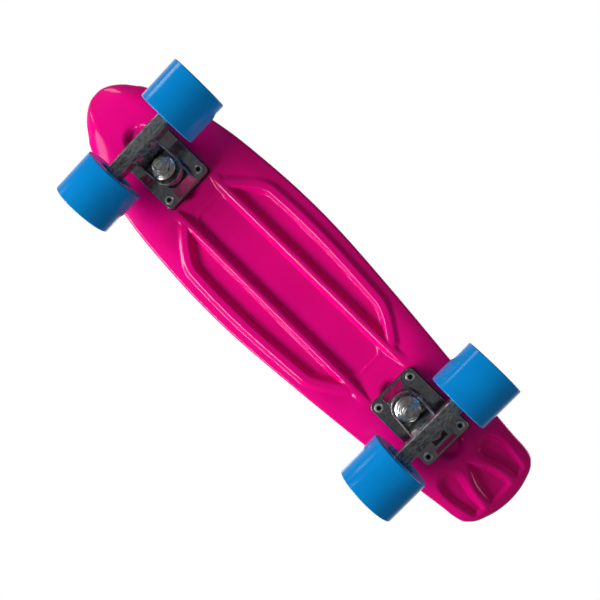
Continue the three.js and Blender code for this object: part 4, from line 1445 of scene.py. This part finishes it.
def hanger_shape():
    """The bar, the yoke, the ring and the horn in one, with the holes for kingpin and axle."""
    section = [(x, AXLE_HEIGHT + z) for x, z in BAR_SECTION]
    section += [(-x, z) for x, z in reversed(section)]
    shape = prism(section, -BAR_HALF, BAR_HALF)
    ring = rod_shape(RING_RADIUS, -RING_HALF, RING_HALF, ON_KINGPIN)
    for part in (*yoke_parts(), ring, horn_shape(0, 0)):
        shape = combine(shape, part, "UNION")
    along_bar = Matrix.Translation((0, 0, AXLE_HEIGHT)) @ Matrix.Rotation(math.pi / 2, 4, "X")
    kingpin_hole = rod_shape(KINGPIN_HOLE, -2 * RING_HALF, 2 * RING_HALF, ON_KINGPIN)
    axle_hole = rod_shape(AXLE_BORE, -BAR_HALF - OVERLAP, BAR_HALF + OVERLAP, along_bar)
    for hole in (kingpin_hole, axle_hole):
        shape = combine(shape, hole, "DIFFERENCE")
    return shape


for end in AXLE_X:
    hanger = hanger_shape()
    place_truck(hanger, end)
    piece = finish(
        f"{end}_hanger_casting", hanger, f"{end}_truck_hanger",
        cast_metal, [f"{end}_hanger"], weighted=False,
    )
    skin = piece.modifiers.new("Cast skin", "REMESH")
    skin.mode = "VOXEL"
    skin.voxel_size = CAST_VOXEL * MM
    skin.use_smooth_shade = True
    fillets = piece.modifiers.new("Fillets", "SMOOTH")
    fillets.factor = CAST_SMOOTHING
    fillets.iterations = CAST_PASSES
print("two hangers,", 2 * BAR_HALF, "mm wide")

# %% [markdown]
# ## Kingpins
#
# The kingpin is a bolt that leans with its truck. Its head sits in the baseplate, its threaded
# end points down towards the camera, and a shallow key hole in that end shows as a hexagon.
# The head is made like a nut with next to no bore, and is then joined to the rod.

# %% Turn the kingpins
KINGPIN_RADIUS = 4.75
KINGPIN_BORE = 5.05
KINGPIN_TAIL = -21.2
KINGPIN_RIDGES = 8
KINGPIN_SOCKET = (4.0, 1.0)
HEAD_SPAN = (17.93, 23.43)
HEAD_CENTRE = 0.5
NUT_SPAN = (-18.2, -12.6)
NUT_WIDTH = 14.3
NUT_COLLAR = (6.2, 2.0)


def hexagon(across_flats):
    """The six corners of a key hole about the origin."""
    radius = across_flats / math.sqrt(3)
    turns = [math.radians(360 / FLATS * corner) for corner in range(FLATS)]
    return [(radius * math.cos(turn), radius * math.sin(turn)) for turn in turns]


def kingpin_shape():
    """The bolt: a threaded rod with a hexagon head above and a key hole in its lower end."""
    low, high = HEAD_SPAN
    thread = threaded_end(KINGPIN_RADIUS, -KINGPIN_TAIL, KINGPIN_RIDGES)
    profile = [(radius, -height) for radius, height in thread] + [(KINGPIN_RADIUS, low), (0, low)]
    rod = turned(profile, ROD_SIDES, closed=False)
    pin = combine(rod, hexagon_nut(NUT_WIDTH, low, high, HEAD_CENTRE), "UNION")
    across, depth = KINGPIN_SOCKET
    recess = prism(hexagon(across), KINGPIN_TAIL - depth, KINGPIN_TAIL + depth, "Z")
    return combine(pin, recess, "DIFFERENCE")


print("kingpins", round(HEAD_SPAN[1] - KINGPIN_TAIL, 2), "mm long")

# %% [markdown]
# ## Cup washers
#
# A washer pressed into a dish holds the far end of each bushing. It is drawn as one closed
# profile, with a flat floor that lies on the nut or the baseplate and a lip round its rim.

# %% Turn the cup washers
DISH_SEATS = {"upper": (11.3, -1), "lower": (-12.3, 1)}
DISH_LIP = 1.6
DISH_WALL = 1.1
DISH_SHEET = 1.4
DISH_STEP = 8.9
DISH_RISE = 0.4
DISH_SOFTNESS = 0.25


def cup_washer(seat, facing):
    """A dished washer whose lip faces up the kingpin, or down for a facing of -1."""
    back = seat + facing * DISH_SHEET
    lip = back + facing * DISH_WALL
    step = seat + facing * DISH_RISE
    inner = DISH_RADIUS - DISH_LIP
    washer = turned(
        [
            (KINGPIN_BORE, seat), (DISH_STEP, seat), (DISH_STEP + DISH_RISE, step), (inner, step),
            (DISH_RADIUS, back), (DISH_RADIUS, lip), (DISH_RADIUS - DISH_WALL, lip),
            (inner - DISH_WALL / 2, back), (KINGPIN_BORE, back),
        ],
        RING_SIDES,
    )
    soften(washer, DISH_SOFTNESS)
    return washer


print("cup washers", 2 * DISH_RADIUS, "mm across")

# %% [markdown]
# ## Bushings
#
# Two urethane rings on the kingpin hold the ring of the hanger between them and spring it
# back. On a real truck each bends as it steers: its cup end stays with the board and its ring
# end leans with the hanger. A few rows of points along its side give it room to bend in a
# curve, but here each bushing is left in place and rides on no body.

# %% Turn the bushings and assemble the kingpins
BUSHINGS = {"upper": (11.2, 3.8, 9.6), "lower": (10.7, -3.8, -10.6)}
BUSHING_ROWS = (0, 0.25, 0.5, 0.75, 1)
BUSHING_SOFTNESS = 0.3


def bushing(radius, ring_end, cup_end):
    """A urethane ring, round where it meets the hanger and narrowed where it sits in its cup."""
    along_pin = math.copysign(1, cup_end - ring_end)
    seat = DISH_RADIUS - DISH_LIP - DISH_WALL / 2 - FIT
    narrow = radius - seat
    wide, slim = ring_end + along_pin * narrow / 2, cup_end - along_pin * narrow
    side = [(radius, wide + (slim - wide) * share) for share in BUSHING_ROWS]
    ring = turned(
        [
            (KINGPIN_BORE, ring_end), (radius - narrow / 2, ring_end), *side,
            (seat, cup_end), (KINGPIN_BORE, cup_end),
        ],
        RING_SIDES,
    )
    soften(ring, BUSHING_SOFTNESS, segments=3)
    return ring


def between(end, ring_end, cup_end):
    """The bodies at a bushing's two ends and the points there; the bushing is not joined to them."""
    place = TRUCK_PLACE[end] @ ON_KINGPIN
    points = [place @ Vector((0, 0, height)) * MM for height in (cup_end, ring_end)]
    return ("board", f"{end}_truck_hanger", *points)


def put_on_kingpin(shape, end, node, kind, slot, material, body="board"):
    """Finishes a piece that was drawn about z as one that sits on the leaning kingpin."""
    bmesh.ops.transform(shape, matrix=ON_KINGPIN, verts=shape.verts)
    place_truck(shape, end)
    finish(f"{end}_{node}_{kind}", shape, body, material, [f"{end}_{node}"])


steel, urethane = ("zinc_steel", zinc_steel), ("bushing_urethane", bushing_urethane)
for end in AXLE_X:
    put_on_kingpin(kingpin_shape(), end, "kingpin", "bolt", *steel)
    nut = hexagon_nut(NUT_WIDTH, *NUT_SPAN, KINGPIN_BORE, NUT_COLLAR)
    put_on_kingpin(nut, end, "kingpin_nut", "hexagon", *steel)
    for level, (seat, facing) in DISH_SEATS.items():
        put_on_kingpin(cup_washer(seat, facing), end, f"{level}_cup_washer", "dish", *steel)
    for level, (radius, ring_end, cup_end) in BUSHINGS.items():
        ring = bushing(radius, ring_end, cup_end)
        bend = between(end, ring_end, cup_end)
        put_on_kingpin(ring, end, f"{level}_bushing", "ring", *urethane, bend)
print("two kingpins with nuts, washers and bushings")

# %% [markdown]
# ## Mounting screws
#
# Four socket-head screws hold each plate. The head's face is a ring between a circle and a
# hexagon, which Bridge fills with even faces. The hexagon is then pushed in to make the socket
# and the circle pushed out to make the head and the shank. The walls of the socket get a
# second, near-black material: painted shade for the little light that comes out of so small a hole.

# %% Make the mounting screws
SCREW_HEAD = (4.3, 3.2)
SCREW_CHAMFER = 0.7
SCREW_SHANK = 2.5
SCREW_SPACING = (31.75, 20.65)
SOCKET = (4.4, 2.4)
SOCKET_CUTS = 7
FACE_GAP = 0.05


def circle(shape, corners, radius):
    """A new ring of edges about z."""
    made = bmesh.ops.create_circle(shape, segments=corners, radius=radius)
    return list({edge for point in made["verts"] for edge in point.link_edges})


def push(shape, edges, lift, scale=1.0):
    """Extrudes a loop, lifts it and scales it about z; returns the new loop."""
    fresh, loop = extruded_loop(shape, edges)
    bmesh.ops.translate(shape, vec=(0, 0, lift), verts=list(fresh))
    bmesh.ops.scale(shape, vec=(scale, scale, 1), verts=list(fresh))
    return loop


def screw_shape(top):
    """A socket screw with its head's face at z = 0 and its shank pointing up."""
    radius, height = SCREW_HEAD
    across, depth = SOCKET
    corner = across / math.sqrt(3)
    screw = bmesh.new()
    rim = circle(screw, FLATS * (SOCKET_CUTS + 1), radius - SCREW_CHAMFER)
    bmesh.ops.subdivide_edges(screw, edges=circle(screw, FLATS, corner), cuts=SOCKET_CUTS)
    socket = [edge for edge in screw.edges if edge not in set(rim)]
    bmesh.ops.bridge_loops(screw, edges=rim + socket)
    socket = push(screw, socket, depth)
    bmesh.ops.edgeloop_fill(screw, edges=socket)
    rim = push(screw, rim, SCREW_CHAMFER, radius / (radius - SCREW_CHAMFER))
    rim = push(screw, rim, height - SCREW_CHAMFER)
    rim = push(screw, rim, 0, SCREW_SHANK / radius)
    rim = push(screw, rim, top - height)
    bmesh.ops.edgeloop_fill(screw, edges=rim)
    clean(screw)
    # Faces inside the socket take the second material, painted shade in place of the socket's shadow.
    for face in screw.faces:
        middle = face.calc_center_median()
        if middle.xy.length < corner and FACE_GAP < middle.z < depth + FACE_GAP:
            face.material_index = 1
    return screw


head_face = plate_face - FIT - SCREW_HEAD[1]
screw_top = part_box("front_mounting_screw_1")[1].z / MM - head_face
places = [(along_x, across) for along_x in (1, -1) for across in (1, -1)]
for end in AXLE_X:
    for number, (along_x, across) in enumerate(places, 1):
        node = f"{end}_mounting_screw_{number}"
        spot = (PLATE_MIDDLE + along_x * SCREW_SPACING[0], across * SCREW_SPACING[1], head_face)
        screw = screw_shape(screw_top)
        bmesh.ops.translate(screw, vec=spot, verts=screw.verts)
        place_truck(screw, end)
        finish(
            f"{node}_socket_head", screw, "board", screw_steel, [node], inner=socket_shade_paint
        )
print("eight screws")

# %% [markdown]
# ## Hidden spacers
#
# The spacer between the two bearings of a wheel is never seen, so its solid needs no finer
# shape. It stays as it is and only gets the same zinc steel as the axle.

# %% Finish the hidden spacers
for end, side in CORNERS:
    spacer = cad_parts[f"{end}_{side}_bearing_spacer"]
    spacer.data.materials.clear()
    spacer.data.materials.append(zinc_steel)
print("four bearing spacers in zinc steel")
